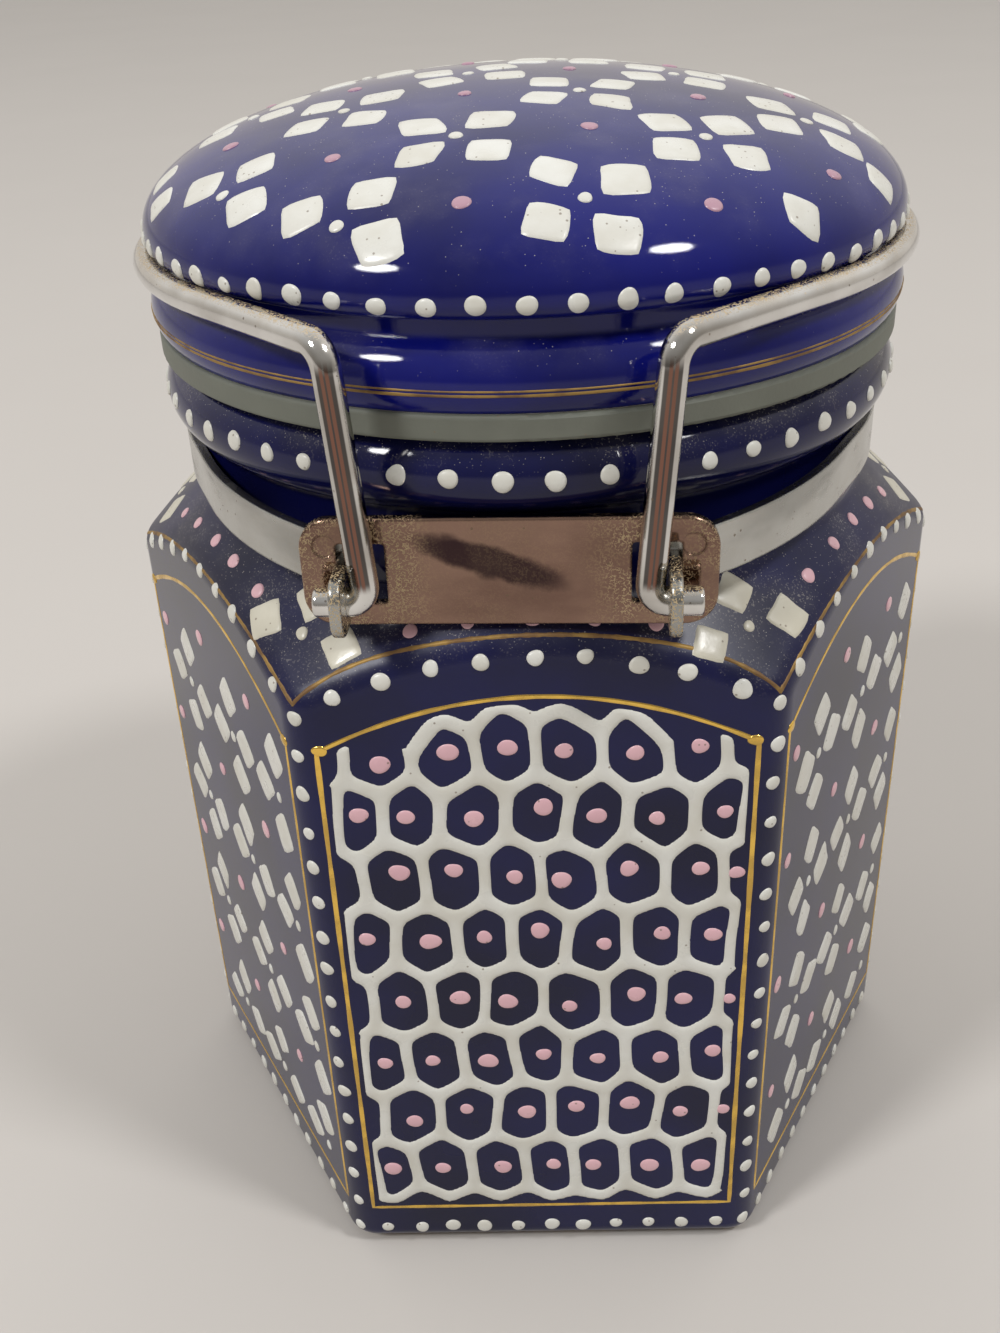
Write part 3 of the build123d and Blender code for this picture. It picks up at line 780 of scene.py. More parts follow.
def gilding(name, look, least, most_rubbed):
    """Burnished gold, rubbed brown by shares from least to most."""
    made, tree, shader = new_material(name)
    share = between(tree, mottle(tree, scale=260, contrast=0.16), least, most_rubbed)
    feed(
        tree, shader, Base_Color=mix(tree, share, look.gold, look.gold_rubbed),
        Metallic=between(tree, share, *GILT_METALLIC), Roughness=between(tree, share, *GILT_ROUGH),
    )
    return made


def rubber(name, look):
    """Matt moulded rubber with a dusty bloom."""
    made, tree, shader = new_material(name)
    bloom = mottle(tree, scale=140, contrast=0.3)
    pale = [min(1.0, part * BLOOM_TONE) for part in look.rubber]
    face = mix(tree, times(tree, bloom, BLOOM_SHARE), look.rubber, pale)
    grains = specks(tree, scale=1300, size=0.22, share=0.12)
    face = mix(tree, times(tree, grains, BLOOM_SHARE), face, look.tarnish)
    skin = bump(tree, mottle(tree, scale=1800, contrast=0.4), strength=0.3, distance=0.06 * MM)
    feed(tree, shader, Base_Color=face, Roughness=between(tree, bloom, *RUBBER_ROUGH), Normal=skin)
    return made


def metal(name, look, faces, rough, stretch, dusty, dull, grit, lines=None, reflection_streak=None, gathers=None):
    """Plated metal: bright where it is clean, darker in streaks that are painted reflection, dull in patches
    and dusty on top, with a painted reflection band and line, a painted reflection streak and gathered dust
    where masks ask for them."""
    made, tree, shader = new_material(name)
    streaks = effect(tree, "scuffs", Scale=45, Stretch=stretch, Level=0.42)["Mask"]
    scuffs = effect(tree, "scuffs", Scale=160, Stretch=stretch)
    # Painted reflection: darker streaks in the metal's second tone
    face = mix(tree, streaks, *faces)
    # Painted reflection: the dark band and the brown line down the bail's legs
    if lines:
        band, line = lines(tree)
        face = mix(tree, times(tree, band, LEG_DARK_REFLECTION_SHARE), face, look.chrome_painted_dark_reflection)
        face = mix(tree, line, face, look.chrome_painted_brown_reflection)
    # Painted reflection: the dark streak across the hinge plate
    if reflection_streak:
        face = mix(tree, reflection_streak(tree), face, look.plate_painted_reflection)
    if gathers:
        gathered = gathers(tree)
        face = mix(tree, times(tree, gathered, GATHERED_SHARE), face, faces[1])
    else:
        gathered = mottle(tree, scale=110, contrast=0.2)
    patches = times(tree, mottle(tree, scale=210, contrast=0.12), dull)
    stain = most(tree, patches, specks(tree, scale=1400, size=0.3, share=0.1))
    face = mix(tree, times(tree, stain, STAIN_SHARE), face, look.tarnish)
    settled = effect(tree, "dust", Film=dusty, Grains=dusty, Scale=1300)["Mask"]
    threads = effect(tree, "lint", Scale=2100, Share=grit)["Mask"]
    clinging = most(tree, specks(tree, scale=3200, size=0.4, share=grit), threads)
    dust = most(tree, settled, times(tree, clinging, gathered))
    scratched = between(tree, scuffs["Mask"], *rough)
    dulled = most(tree, scratched, times(tree, dust, DUST_ROUGH))
    feed(
        tree, shader, Base_Color=mix(tree, dust, face, look.dust),
        Roughness=plus(tree, dulled, times(tree, stain, STAIN_ROUGH)),
        Metallic=ramp(tree, dust, *DUST_COVERS, 1.0, 0.0),
        Normal=bump(tree, scuffs["Height"], strength=0.1, distance=0.03 * MM, rounding=METAL_ROUND),
    )
    return made


def plain_floor(name, look):
    """Pale floor with a faint unevenness."""
    made, tree, shader = new_material(name)
    darker = [part * FLOOR_TONE for part in look.floor]
    face = mix(tree, mottle(tree, scale=9, contrast=0.5), look.floor, darker)
    feed(tree, shader, Base_Color=face, Roughness=FLOOR_ROUGH)
    return made


def finish_node(name, material):
    """Gives a CAD node its finish."""
    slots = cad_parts[name].data.materials
    slots.clear()
    slots.append(material)


# Raised enamel on the CAD surfaces

class Skin:
    """Finds points and normals on a CAD node's surface."""

    def __init__(self, name):
        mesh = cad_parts[name].data
        corners = [vertex.co.copy() for vertex in mesh.vertices]
        self.tree = BVHTree.FromPolygons(corners, [tuple(face.vertices) for face in mesh.polygons])

    def touch(self, place, outward):
        """The surface point met on the way in from outside, and its normal."""
        start = place + outward * RAY_REACH
        point, normal, _, _ = self.tree.ray_cast(start, -outward, 2 * RAY_REACH)
        if point is None:
            raise RuntimeError(f"no surface under {tuple(place)}")
        return point, normal


class Shell:
    """Gathers the faces of many like ornaments into one piece."""

    def __init__(self):
        self.points = []
        self.faces = []

    def dome(self, rings, crown):
        """Rings of points from the edge inwards, closed by a crown point."""
        start = len(self.points)
        sides = len(rings[0])
        for ring in rings:
            self.points.extend(ring)
        self.points.append(crown)
        for level in range(len(rings) - 1):
            for i in range(sides):
                low = start + level * sides
                after = (i + 1) % sides
                self.faces.append((low + i, low + after, low + sides + after, low + sides + i))
        last = start + (len(rings) - 1) * sides
        for i in range(sides):
            self.faces.append((last + i, last + (i + 1) % sides, len(self.points) - 1))

    def strip(self, rows, closed):
        """Rows of points across a ribbon, joined one to the next."""
        start = len(self.points)
        wide = len(rows[0])
        for row in rows:
            self.points.extend(row)
        for i in range(len(rows) if closed else len(rows) - 1):
            here = start + i * wide
            there = start + (i + 1) % len(rows) * wide
            for j in range(wide - 1):
                self.faces.append((here + j, there + j, there + j + 1, here + j + 1))

    def piece(self, name, body, slot, material):
        """Makes the gathered faces a named piece that rides on a body."""
        mesh = bpy.data.meshes.new(name)
        mesh.from_pydata([tuple(point) for point in self.points], [], self.faces)
        mesh.materials.append(material)
        mesh.shade_smooth()
        made = bpy.data.objects.new(name, mesh)
        bpy.context.scene.collection.objects.link(made)
        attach(made, body)


def hand(rng, value, spread=0.1):
    """A size as a hand makes it, a little more or less than meant."""
    return value * rng.uniform(1 - spread, 1 + spread)


def stray(rng, most_off):
    """How far a hand misses a place or an angle, one way or the other."""
    return rng.uniform(-most_off, most_off)


def spot(shell, skin, rng, place, outward, along, size, height, power=2.0, fullness=2.5, blunt=0.0):
    """One raised dot, oval or petal of size (long, wide), lying on the surface."""
    centre, normal = skin.touch(place, outward)
    side = normal.cross(along).normalized()
    ahead = side.cross(normal)
    wave, turn, twist = rng.uniform(*SPOT_WAVE), rng.uniform(0, math.tau), rng.uniform(0, math.tau)
    rings = []
    for share in RING_SHARES:
        lift = height * math.sqrt(1 - share**fullness) if share < 1 else -SINK
        ring = []
        for i in range(SPOT_SIDES):
            t = math.tau * i / SPOT_SIDES
            cos, sin = math.cos(t), math.sin(t)
            long, wide = math.hypot(cos, blunt) * 2 / size[0], math.hypot(sin, blunt) * 2 / size[1]
            reach = (long**power + wide**power) ** (-1 / power)
            reach *= share * (1 + wave * math.sin(2 * t + turn) + wave * math.sin(3 * t + twist))
            point, _ = skin.touch(centre + (ahead * cos + side * sin) * reach, normal)
            ring.append(point + normal * lift)
        rings.append(ring)
    shell.dome(rings, centre + normal * height)


def petal(shell, skin, rng, place, outward, along, size, height, power=PETAL_POWER):
    """One diamond petal with blunt tips."""
    spot(shell, skin, rng, place, outward, along, size, height, power, PETAL_FULLNESS, PETAL_BLUNT)


def ribbon(shell, skin, rng, places, width, height, closed=False):
    """A thin raised line through (place, outward) pairs on the surface."""
    touched = [skin.touch(place, outward) for place, outward in places]
    turn = rng.uniform(0, math.tau)
    rows = []
    for i, (point, normal) in enumerate(touched):
        before = touched[i - 1][0] if i or closed else point
        after = touched[(i + 1) % len(touched)][0] if closed or i + 1 < len(touched) else point
        side = normal.cross(after - before).normalized()
        slow = RIBBON_SLOW_WAVE[0] * math.sin(RIBBON_SLOW_WAVE[1] * i + turn)
        quick = RIBBON_QUICK_WAVE[0] * math.sin(RIBBON_QUICK_WAVE[1] * i)
        half = width / 2 * (1 + slow + quick)
        row = []
        for share in RIBBON_SHARES:
            lift = height * (1 - share * share) if abs(share) < 1 else -SINK
            row.append(point + side * (half * share) + normal * lift)
        rows.append(row)
    shell.strip(rows, closed)


# Places on the jar and the lid

def flat_way(turn):
    """The level direction at a turn about the upright axis."""
    return Vector((math.cos(turn), math.sin(turn), 0))


def round_way(turn):
    """The level direction round the axis at a turn, to the right seen from outside."""
    return Vector((-math.sin(turn), math.cos(turn), 0))


def panel_turn(index):
    """The turn of a panel's middle."""
    return math.radians(FRONT_DEGREES + SIDE_DEGREES * index)


def corner_turn(index, swing=0.0):
    """The turn of the corner to the right of a panel, or of a place some degrees off it."""
    return math.radians(CORNER_DEGREES + SIDE_DEGREES * index + swing)


def panel_frame(index):
    """A panel's outward direction and its direction to the right, seen from outside."""
    turn = panel_turn(index)
    return flat_way(turn), round_way(turn)


def panel_point(index, across, height):
    """A point on a panel's plane."""
    outward, right = panel_frame(index)
    return outward * APOTHEM + right * across + UP * height


def panel_arch(sizes, across):
    """Height of the gilt arch over a panel."""
    share = across / sizes.panel_half
    return sizes.panel_top - (sizes.panel_top - sizes.panel_side) * share * share


def panel_row(number, half):
    """Places across a panel for a row of dots, from one end to the other."""
    return [(i - (number - 1) / 2) * 2 * half / (number - 1) for i in range(number)]


def is_net_panel(index):
    """Every second panel has the net, and the others have flowers."""
    return index % 2 == 0


def shoulder_height(radius):
    """Height of the turned shoulder at a distance from the axis."""
    return SHOULDER_Z - SHOULDER_SLOPE * (radius - NECK_R)


def shoulder_place(turn, radius):
    """A point on the shoulder, and the way out from it."""
    flat = flat_way(turn)
    outward = flat * math.sin(SHOULDER_LEAN) + UP * math.cos(SHOULDER_LEAN)
    return flat * radius + UP * shoulder_height(radius), outward


def edge_height(across):
    """Height of the arch edge, where the panel meets the shoulder."""
    return shoulder_height(math.hypot(APOTHEM, across))


def dome_place(x, y):
    """A point on the lid's dome, and the way out from it."""
    share = max(0.0, 1 - (x * x + y * y) / DOME_R**2)
    rise = DOME_RISE * math.sqrt(share)
    outward = Vector((x / DOME_R**2, y / DOME_R**2, rise / DOME_RISE**2)).normalized()
    return Vector((x, y, DOME_Z + rise)), outward


def dome_place_near(rng, middle):
    """A place on the dome as near to a meant one as the hand sets it."""
    x = middle.x + stray(rng, DOME_STRAY)
    return dome_place(x, middle.y + stray(rng, DOME_STRAY))


# The honeycomb net

def net_cells(sizes, rng):
    """Middles of the net's cells across and up a panel, the kind of each cell, and the middles of the half
    cells that the right edge cuts off."""
    rows = round((sizes.panel_side - sizes.panel_low) / sizes.net_rise)
    low = sizes.panel_low + NET_LOW_SHARE * sizes.net_rise
    edge = sizes.panel_half + NET_EDGE_OUT
    cells, kinds, halves = [], [], []
    for row in range(-1, rows + 1):
        crowded = NET_CROWDING * math.sin(math.pi * row / (rows - 1))
        for column in NET_COLUMNS:
            meant = (column + (0.5 if row % 2 else 0.0)) * sizes.net_pitch
            across = meant + stray(rng, NET_STRAY_SHARES[0]) * sizes.net_pitch
            height = low + row * sizes.net_rise + crowded + stray(rng, NET_STRAY_SHARES[1]) * sizes.net_rise
            off_middle = abs(meant) > NET_MIDDLE_SHARE * sizes.panel_half
            if abs(meant) > sizes.panel_half + sizes.net_pitch:
                continue
            if row == rows and off_middle:
                continue
            if row == rows:
                kind = ABOVE
                height = 2 * (panel_arch(sizes, across) - NET_ARCH_DROP) - low - (rows - 1) * sizes.net_rise
            elif row < 0 or abs(meant) > sizes.panel_half:
                kind = OUTSIDE
                across = max(-edge, min(edge, across))
                is_half = 0 < meant < sizes.panel_half + NET_HALF_SHARE * sizes.net_pitch
                if row % 2 and 0 < row < rows - 1 and is_half:
                    halves.append((sizes.panel_half - HALF_OVAL_SIDE_ROOM, height))
            elif row == rows - 1 and off_middle:
                kind = OPEN_TOP
            else:
                kind = CLOSED
            cells.append((across, height))
            kinds.append(kind)
    return np.array(cells), np.array(kinds), halves


def net_bend(along, other, slow, quick):
    """Lets places wander by two waves, so that straight walls between cells become hand-drawn lines."""
    return along + NET_WANDER * np.sin(other / slow) + NET_QUICK_WANDER * np.sin(along / quick)


def net_wall_distance(cells, kinds, points):
    """How far each point is from the nearest drawn wall between two cells, rounded where walls meet."""
    points = points * NET_SQUEEZE
    cells = cells * NET_SQUEEZE
    squares = ((points[:, None, :] - cells[None, :, :]) ** 2).sum(axis=-1)
    nearest = squares.argmin(axis=1)
    apart = np.sqrt(((cells[:, None, :] - cells[None, :, :]) ** 2).sum(axis=-1))
    np.fill_diagonal(apart, np.inf)
    own = squares[np.arange(len(points)), nearest]
    with np.errstate(invalid="ignore"):
        walls = (squares - own[:, None]) / (2 * apart[nearest])
    walls[np.arange(len(points)), nearest] = np.inf
    walls[~WALL_DRAWN[kinds[nearest]][:, kinds]] = np.inf
    total = np.exp(-NET_SHARPNESS * walls).sum(axis=1)
    return -np.log(np.maximum(total, NET_LEAST_TOTAL)) / NET_SHARPNESS


def net_depth(sizes, cells, kinds, across, height):
    """How far each point lies outside the net's lines, below zero inside them."""
    bent_across = net_bend(across, height, NET_SLOW_WAVES[0], NET_QUICK_WAVES[0])
    bent_height = net_bend(height, across, NET_SLOW_WAVES[1], NET_QUICK_WAVES[1])
    walls = net_wall_distance(cells, kinds, np.stack([bent_across, bent_height], axis=-1))
    off_line = walls - sizes.net_line / 2
    edge = sizes.gold_width + NET_GILT_GAP
    off_side = np.abs(across) - sizes.panel_half + edge
    off_arch = height - panel_arch(sizes, across) + edge
    off_panel = np.maximum.reduce([off_side, off_arch, sizes.panel_low + edge - height])
    inside_line = np.maximum(off_line + NET_ROUND, 0)
    inside_panel = np.maximum(off_panel + NET_ROUND, 0)
    corner = np.hypot(inside_line, inside_panel) - NET_ROUND
    return np.where(corner > -NET_ROUND, corner, np.maximum(off_line, off_panel))


def net_sheet(shell, sizes, index, cells, kinds):
    """The raised net on one panel: its field is cut at zero, and rounded over across its lines."""
    wide = np.arange(-sizes.panel_half, sizes.panel_half + NET_STEP, NET_STEP)
    tall = np.arange(sizes.panel_low, sizes.panel_top + NET_STEP, NET_STEP)
    across, height = np.meshgrid(wide, tall)
    depth = net_depth(sizes, cells, kinds, across.ravel(), height.ravel()).reshape(across.shape)
    share = np.clip(-depth / (sizes.net_line / 2), 0, 1)
    lift = sizes.net_height * np.sqrt(1 - (1 - share) ** 2)
    outward, _ = panel_frame(index)
    made = {}

    def inner(here):
        if here not in made:
            made[here] = len(shell.points)
            shell.points.append(panel_point(index, across[here], height[here]) + outward * lift[here])
        return made[here]

    def edge(first, second):
        key = (min(first, second), max(first, second))
        if key not in made:
            made[key] = len(shell.points)
            part = depth[first] / (depth[first] - depth[second])
            u = across[first] + (across[second] - across[first]) * part
            z = height[first] + (height[second] - height[first]) * part
            shell.points.append(panel_point(index, u, z) - outward * SINK)
        return made[key]

    for row in range(len(tall) - 1):
        for column in range(len(wide) - 1):
            corners = [(row, column), (row, column + 1), (row + 1, column + 1), (row + 1, column)]
            face = []
            for here, there in zip(corners, corners[1:] + corners[:1]):
                if depth[here] < 0:
                    face.append(inner(here))
                if (depth[here] < 0) != (depth[there] < 0):
                    face.append(edge(here, there))
            if len(face) > 2:
                shell.faces.append(tuple(face))


# The flowers

def panel_flowers(sizes):
    """Middles of the flowers on a flower panel, and of the gaps between them."""
    top = sizes.panel_side - PANEL_TOP_SHARE * sizes.row_pitch
    flowers, gaps = [], []
    for row in range(int(top / sizes.row_pitch) + 1):
        for column in PANEL_COLUMNS:
            across = (column + PANEL_SHIFT_SHARE) * sizes.column_pitch
            height = top - row * sizes.row_pitch
            if abs(across) < sizes.panel_half - FLOWER_SIDE_ROOM:
                flowers.append((across, height))
            beside, over = across + sizes.column_pitch / 2, height + sizes.row_pitch / 2
            if abs(beside) < sizes.panel_half - GAP_SIDE_ROOM:
                gaps.append((beside, min(over, panel_arch(sizes, beside) - GAP_ARCH_ROOM)))
    return flowers, gaps


def dome_flowers(sizes):
    """Middles of the flowers on the dome, of the gaps between them and of the flowers that the rim cuts
    off, on a turned square lattice."""
    step = Vector((math.cos(sizes.flower_turn), math.sin(sizes.flower_turn))) * sizes.flower_pitch
    cross = Vector((-step.y, step.x))
    flowers, gaps, cut_off = [], [], []
    for i in DOME_STEPS:
        for j in DOME_STEPS:
            place = DOME_FLOWER + step * i + cross * j
            gap = place + (step + cross) / 2
            if place.length < DOME_WHOLE_SHARE * DOME_R:
                flowers.append(place)
            elif place.length < DOME_CUT_SHARE * DOME_R:
                cut_off.append(place)
            if gap.length < DOME_GAP_SHARE * DOME_R:
                gaps.append(gap * min(1.0, DOME_GAP_PULLED_SHARE * DOME_R / gap.length))
    return flowers, gaps, cut_off


def flower(
    shells, skin, rng, sizes, place, outward, right, turn, fits, spread=(1.0, 1.0), power=PETAL_POWER,
):
    """A flower: diamond petals round a small middle dot, leaving out the petals that don't fit."""
    petals, hearts = shells
    up = outward.cross(right).normalized()
    across = up.cross(outward)
    for i in range(PETALS):
        swing = turn + math.tau * i / PETALS + stray(rng, PETAL_SWING_STRAY)
        along = across * math.cos(swing) + up * math.sin(swing)
        reach = hand(rng, sizes.petal_reach * spread[i % 2], PETAL_REACH_SPREAD)
        middle, way_out = skin.touch(place + along * reach, outward)
        if fits(middle):
            size = (hand(rng, sizes.petal_length), hand(rng, sizes.petal_width))
            along = Matrix.Rotation(stray(rng, PETAL_TWIST_STRAY), 3, way_out) @ along
            petal(petals, skin, rng, middle, way_out, along, size, sizes.petal_height, power)
    heart = hand(rng, HEART_WIDTH_SHARE * sizes.dot_width)
    spot(hearts, skin, rng, place, outward, right, (heart, heart), HEART_HEIGHT_SHARE * sizes.dot_height)


def rim_petals(shell, skin, rng, sizes, middle):
    """The petals of a flower that the dome's rim cuts off, as far as they lie on the dome."""
    for i in range(PETALS):
        swing = sizes.flower_turn + math.tau * i / PETALS
        along = Vector((math.cos(swing), math.sin(swing)))
        centre = middle + along * sizes.petal_reach
        if centre.length < RIM_PETAL_SHARE * DOME_R:
            centre *= min(1.0, RIM_PETAL_PULLED_SHARE * DOME_R / centre.length)
            place, outward = dome_place(*centre)
            long = hand(rng, RIM_PETAL_SCALES[0] * sizes.petal_length)
            wide = hand(rng, RIM_PETAL_SCALES[1] * sizes.petal_width)
            petal(shell, skin, rng, place, outward, along.to_3d(), (long, wide), sizes.petal_height)


# The gilding

def frame_line(sizes):
    """Points (across, height) round the gilt frame of a panel."""
    half, low, side = sizes.panel_half, sizes.panel_low, sizes.panel_side
    shares = [i / GILT_STEPS for i in range(GILT_STEPS)]
    line = [(half * (2 * share - 1), low) for share in shares]
    line += [(half, low + (side - low) * share) for share in shares]
    over = [half * (1 - 2 * share) for share in shares]
    line += [(across, panel_arch(sizes, across)) for across in over]
    return line + [(-half, side - (side - low) * share) for share in shares]


def arch_line(index):
    """Places along the gilt line on the shoulder over a panel."""
    start, swell, drop = SIDE_INSETS if index else FRONT_INSETS
    places = []
    for i in range(4 * GILT_STEPS + 1):
        share = i / (2 * GILT_STEPS) - 1
        swing = math.radians(ARCH_HALF_DEGREES * share)
        inset = (start + swell * share**2 + drop * share**8) * MM
        places.append(shoulder_place(panel_turn(index) + swing, APOTHEM / math.cos(swing) - inset))
    return places


def ring_line(height):
    """Places round the lid's flange at a height over the seal."""
    flats = [flat_way(math.tau * i / RING_STEPS) for i in range(RING_STEPS)]
    return [(flat * BEAD_R + UP * (SEAL_TOP_Z + height), flat) for flat in flats]


# The stage

def lay_floor(scene):
    """A plain floor under the canister."""
    mesh = bpy.data.meshes.new("floor")
    mesh.from_pydata([(x * FLOOR_HALF, y * FLOOR_HALF, 0) for x, y in FLOOR_CORNERS], [], [(0, 1, 2, 3)])
    mesh.materials.append(plain_floor("floor_pale", scene.canister_finish))
    floor = bpy.data.objects.new("floor", mesh)
    scene.collection.objects.link(floor)


def area_lamp(scene, name, lamp, energy):
    """A soft round lamp that points at the canister."""
    way, width = lamp
    aim = UP * LAMP_AIM_Z
    place = aim + Vector(way) * LAMP_AWAY
    light = bpy.data.lights.new(name, "AREA")
    light.shape = "DISK"
    light.size = width * LAMP_AWAY
    light.energy = energy
    made = bpy.data.objects.new(name, light)
    made.location = place
    made.rotation_euler = (aim - place).to_track_quat("-Z", "Y").to_euler()
    scene.collection.objects.link(made)


def set_light(scene):
    """A soft sky, paler above and stronger from behind, and two lamps in front."""
    stage = scene.canister_stage
    world = bpy.data.worlds.new("studio")
    world.use_nodes = True
    tree = world.node_tree
    sky = tree.nodes["Background"]
    way = node(tree, "ShaderNodeTexCoord").outputs["Generated"]
    parts = node(tree, "ShaderNodeSeparateXYZ", {"Vector": way}).outputs
    shade = mix(tree, ramp(tree, parts["Z"], *SKY_RISE), stage.sky_low, stage.sky_high)
    ends = (SKY_FRONT_SHARE * stage.sky, SKY_BACK_SHARE * stage.sky)
    feed(tree, sky, Color=shade, Strength=ramp(tree, parts["Y"], *SKY_DEPTH, *ends))
    scene.world = world
    area_lamp(scene, "lamp_left", LEFT_LAMP, stage.key)
    area_lamp(scene, "lamp_right", RIGHT_LAMP, stage.fill)


def set_camera(scene):
    """The camera, turned, raised and tilted about its target."""
    stage = scene.canister_stage
    turn, rise, tilt = stage.azimuth, stage.elevation, stage.roll
    back = Vector((math.sin(turn) * math.cos(rise), -math.cos(turn) * math.cos(rise), math.sin(rise)))
    level = (-back).cross(UP).normalized()
    upright = level.cross(-back)
    right = level * math.cos(tilt) + upright * math.sin(tilt)
    top = upright * math.cos(tilt) - level * math.sin(tilt)
    data = bpy.data.cameras.new("camera")
    data.sensor_fit = "VERTICAL"
    data.sensor_height = SENSOR_HEIGHT
    data.lens = stage.lens
    data.clip_start = CLIP_START
    camera = bpy.data.objects.new("camera", data)
    place = Vector(stage.target) + back * stage.distance
    turned = Matrix((right, top, back)).transposed().to_4x4()
    camera.matrix_world = Matrix.Translation(place) @ turned
    scene.collection.objects.link(camera)
    scene.camera = camera


# Operators

class CANISTER_OT_effects(bpy.types.Operator):
    """Builds the wear, dust and mottling that the finishes share"""
    bl_idname = "canister.effects"
    bl_label = "Shared effects"

    def execute(self, context):
        for build in (mottle_group, speck_group, lint_group, dust_group, scuff_group):
            build()
        return {"FINISHED"}


class CANISTER_OT_glaze(bpy.types.Operator):
    """Glazes the jar and the lid"""
    bl_idname = "canister.glaze"
    bl_label = "Jar and lid glaze"

    def execute(self, context):
        look = context.scene.canister_finish
        jar = glaze(
            "jar_cobalt_glaze", look, (look.cobalt, look.cobalt_thin), film=0.06, grains=0.5,
            inside=jar_inside, bare=jar_foot, dull=jar_shoulder)
        lid = glaze(
            "lid_cobalt_glaze", look, (look.cobalt_lid, look.cobalt_lid_thin), film=0.05, grains=0.1,
            inside=lid_inside)
        finish_node("jar_body", jar)
        finish_node("lid", lid)
        return {"FINISHED"}


class CANISTER_OT_seal(bpy.types.Operator):
    """Finishes the rubber seal ring"""
    bl_idname = "canister.seal"
    bl_label = "Seal ring"

    def execute(self, context):
        finish_node("seal_ring", rubber("seal_grey_rubber", context.scene.canister_finish))
        return {"FINISHED"}


class CANISTER_OT_sheet_metal(bpy.types.Operator):
    """Finishes the neck band, the hinge plate and the keeper"""
    bl_idname = "canister.sheet_metal"
    bl_label = "Band and plates"

    def execute(self, context):
        look = context.scene.canister_finish
        # Painted reflection: the plating's brown tone and its darker streaks
        plating = (look.plate, look.plate_reflection_streaks_and_dust)
        band = metal(
            "band_galvanised", look, (look.steel, look.steel_reflection_streaks_and_grime), rough=(0.22, 0.42), stretch=3,
            dusty=0.06, dull=0.12, grit=0.6, gathers=ear_grime)
        plate = metal(
            # Painted reflection: the dark streak across the plate
            "hinge_plating", look, plating, rough=(0.07, 0.2), stretch=2.5,
            dusty=0.1, dull=0.15, grit=0.75, reflection_streak=plate_painted_reflection_streak, gathers=plate_ends)
        keeper = metal(
            "keeper_plating", look, plating, rough=(0.1, 0.25), stretch=2.5,
            dusty=0.1, dull=0.2, grit=0.3)
        finish_node("neck_band", band)
        finish_node("hinge_plate", plate)
        finish_node("keeper_plate", keeper)
        return {"FINISHED"}


class CANISTER_OT_wires(bpy.types.Operator):
    """Finishes the bail and the latch lever"""
    bl_idname = "canister.wires"
    bl_label = "Bail and lever"

    def execute(self, context):
        look = context.scene.canister_finish
        # Painted reflection: the wires' darker streaks
        plating = (look.chrome, look.chrome_reflection_streaks_and_dust)
        # Painted reflection: the dark band and brown line down the bail's legs
        bail = metal(
            "bail_plating", look, plating, rough=(0.05, 0.12), stretch=2,
            dusty=0.3, dull=0.15, grit=0.8, lines=leg_painted_reflection, gathers=wire_top)
        lever = metal(
            "lever_plating", look, plating, rough=(0.05, 0.12), stretch=2,
            dusty=0.1, dull=0.15, grit=0.08)
        finish_node("bail_wire", bail)
        finish_node("latch_lever", lever)
        return {"FINISHED"}


class CANISTER_OT_white_dots(bpy.types.Operator):
    """Sets the rows of white enamel dots on the jar and the lid"""
    bl_idname = "canister.white_dots"
    bl_label = "White dots"

    def execute(self, context):
        sizes = context.scene.canister_enamel
        look = context.scene.canister_finish
        white = enamel("white_enamel", look.white, look.white_aged, look)
        rng = random.Random(DOT_SEED)
        jar, lid = Skin("jar_body"), Skin("lid")
        on_jar, on_lid = Shell(), Shell()

        def dot(shell, skin, place, outward, scale=1.0):
            nudge = Vector([stray(rng, DOT_STRAY) for _ in range(3)])
            size = hand(rng, sizes.dot_width * scale, DOT_SPREAD)
            pair = (size, hand(rng, size))
            raised = hand(rng, sizes.dot_height)
            spot(shell, skin, rng, place + nudge, outward, outward.cross(UP), pair, raised)

        for i in range(sizes.neck_dots):
            flat = flat_way(math.tau * (i + NECK_DOT_START) / sizes.neck_dots)
            dot(on_jar, jar, flat * BEAD_R + UP * NECK_DOT_Z, flat)
        for i in range(sizes.lid_dots):
            flat = flat_way(math.tau * (i + LID_DOT_START) / sizes.lid_dots)
            dot(on_lid, lid, flat * DOME_R + UP * LID_DOT_Z, flat, hand(rng, LID_DOT_SCALE))
        rows = int((sizes.panel_side - sizes.panel_low) / sizes.dot_pitch) + 1
        for index in range(SIDES):
            outward, _ = panel_frame(index)
            tilted = (outward + UP * ARCH_DOT_TILT).normalized()
            for across in panel_row(sizes.base_dots, BASE_ROW_HALF):
                dot(on_jar, jar, panel_point(index, across, BASE_DOT_Z), outward, BASE_DOT_SCALE)
            for across in panel_row(sizes.arch_dots, ARCH_ROW_HALF):
                dot(on_jar, jar, panel_point(index, across, edge_height(across) - ARCH_DOT_DROP), tilted)
            flat = flat_way(corner_turn(index))
            for i in range(-1, rows + 1):
                height = sizes.panel_low + (i + CORNER_DOT_START) * sizes.dot_pitch
                dot(on_jar, jar, flat * CORNER_R + UP * height, flat, CORNER_DOT_SCALE)
        on_jar.piece("jar_white_dots", "jar", "jar_glaze", white)
        on_lid.piece("lid_white_dots", "lid", "lid_glaze", white)
        return {"FINISHED"}


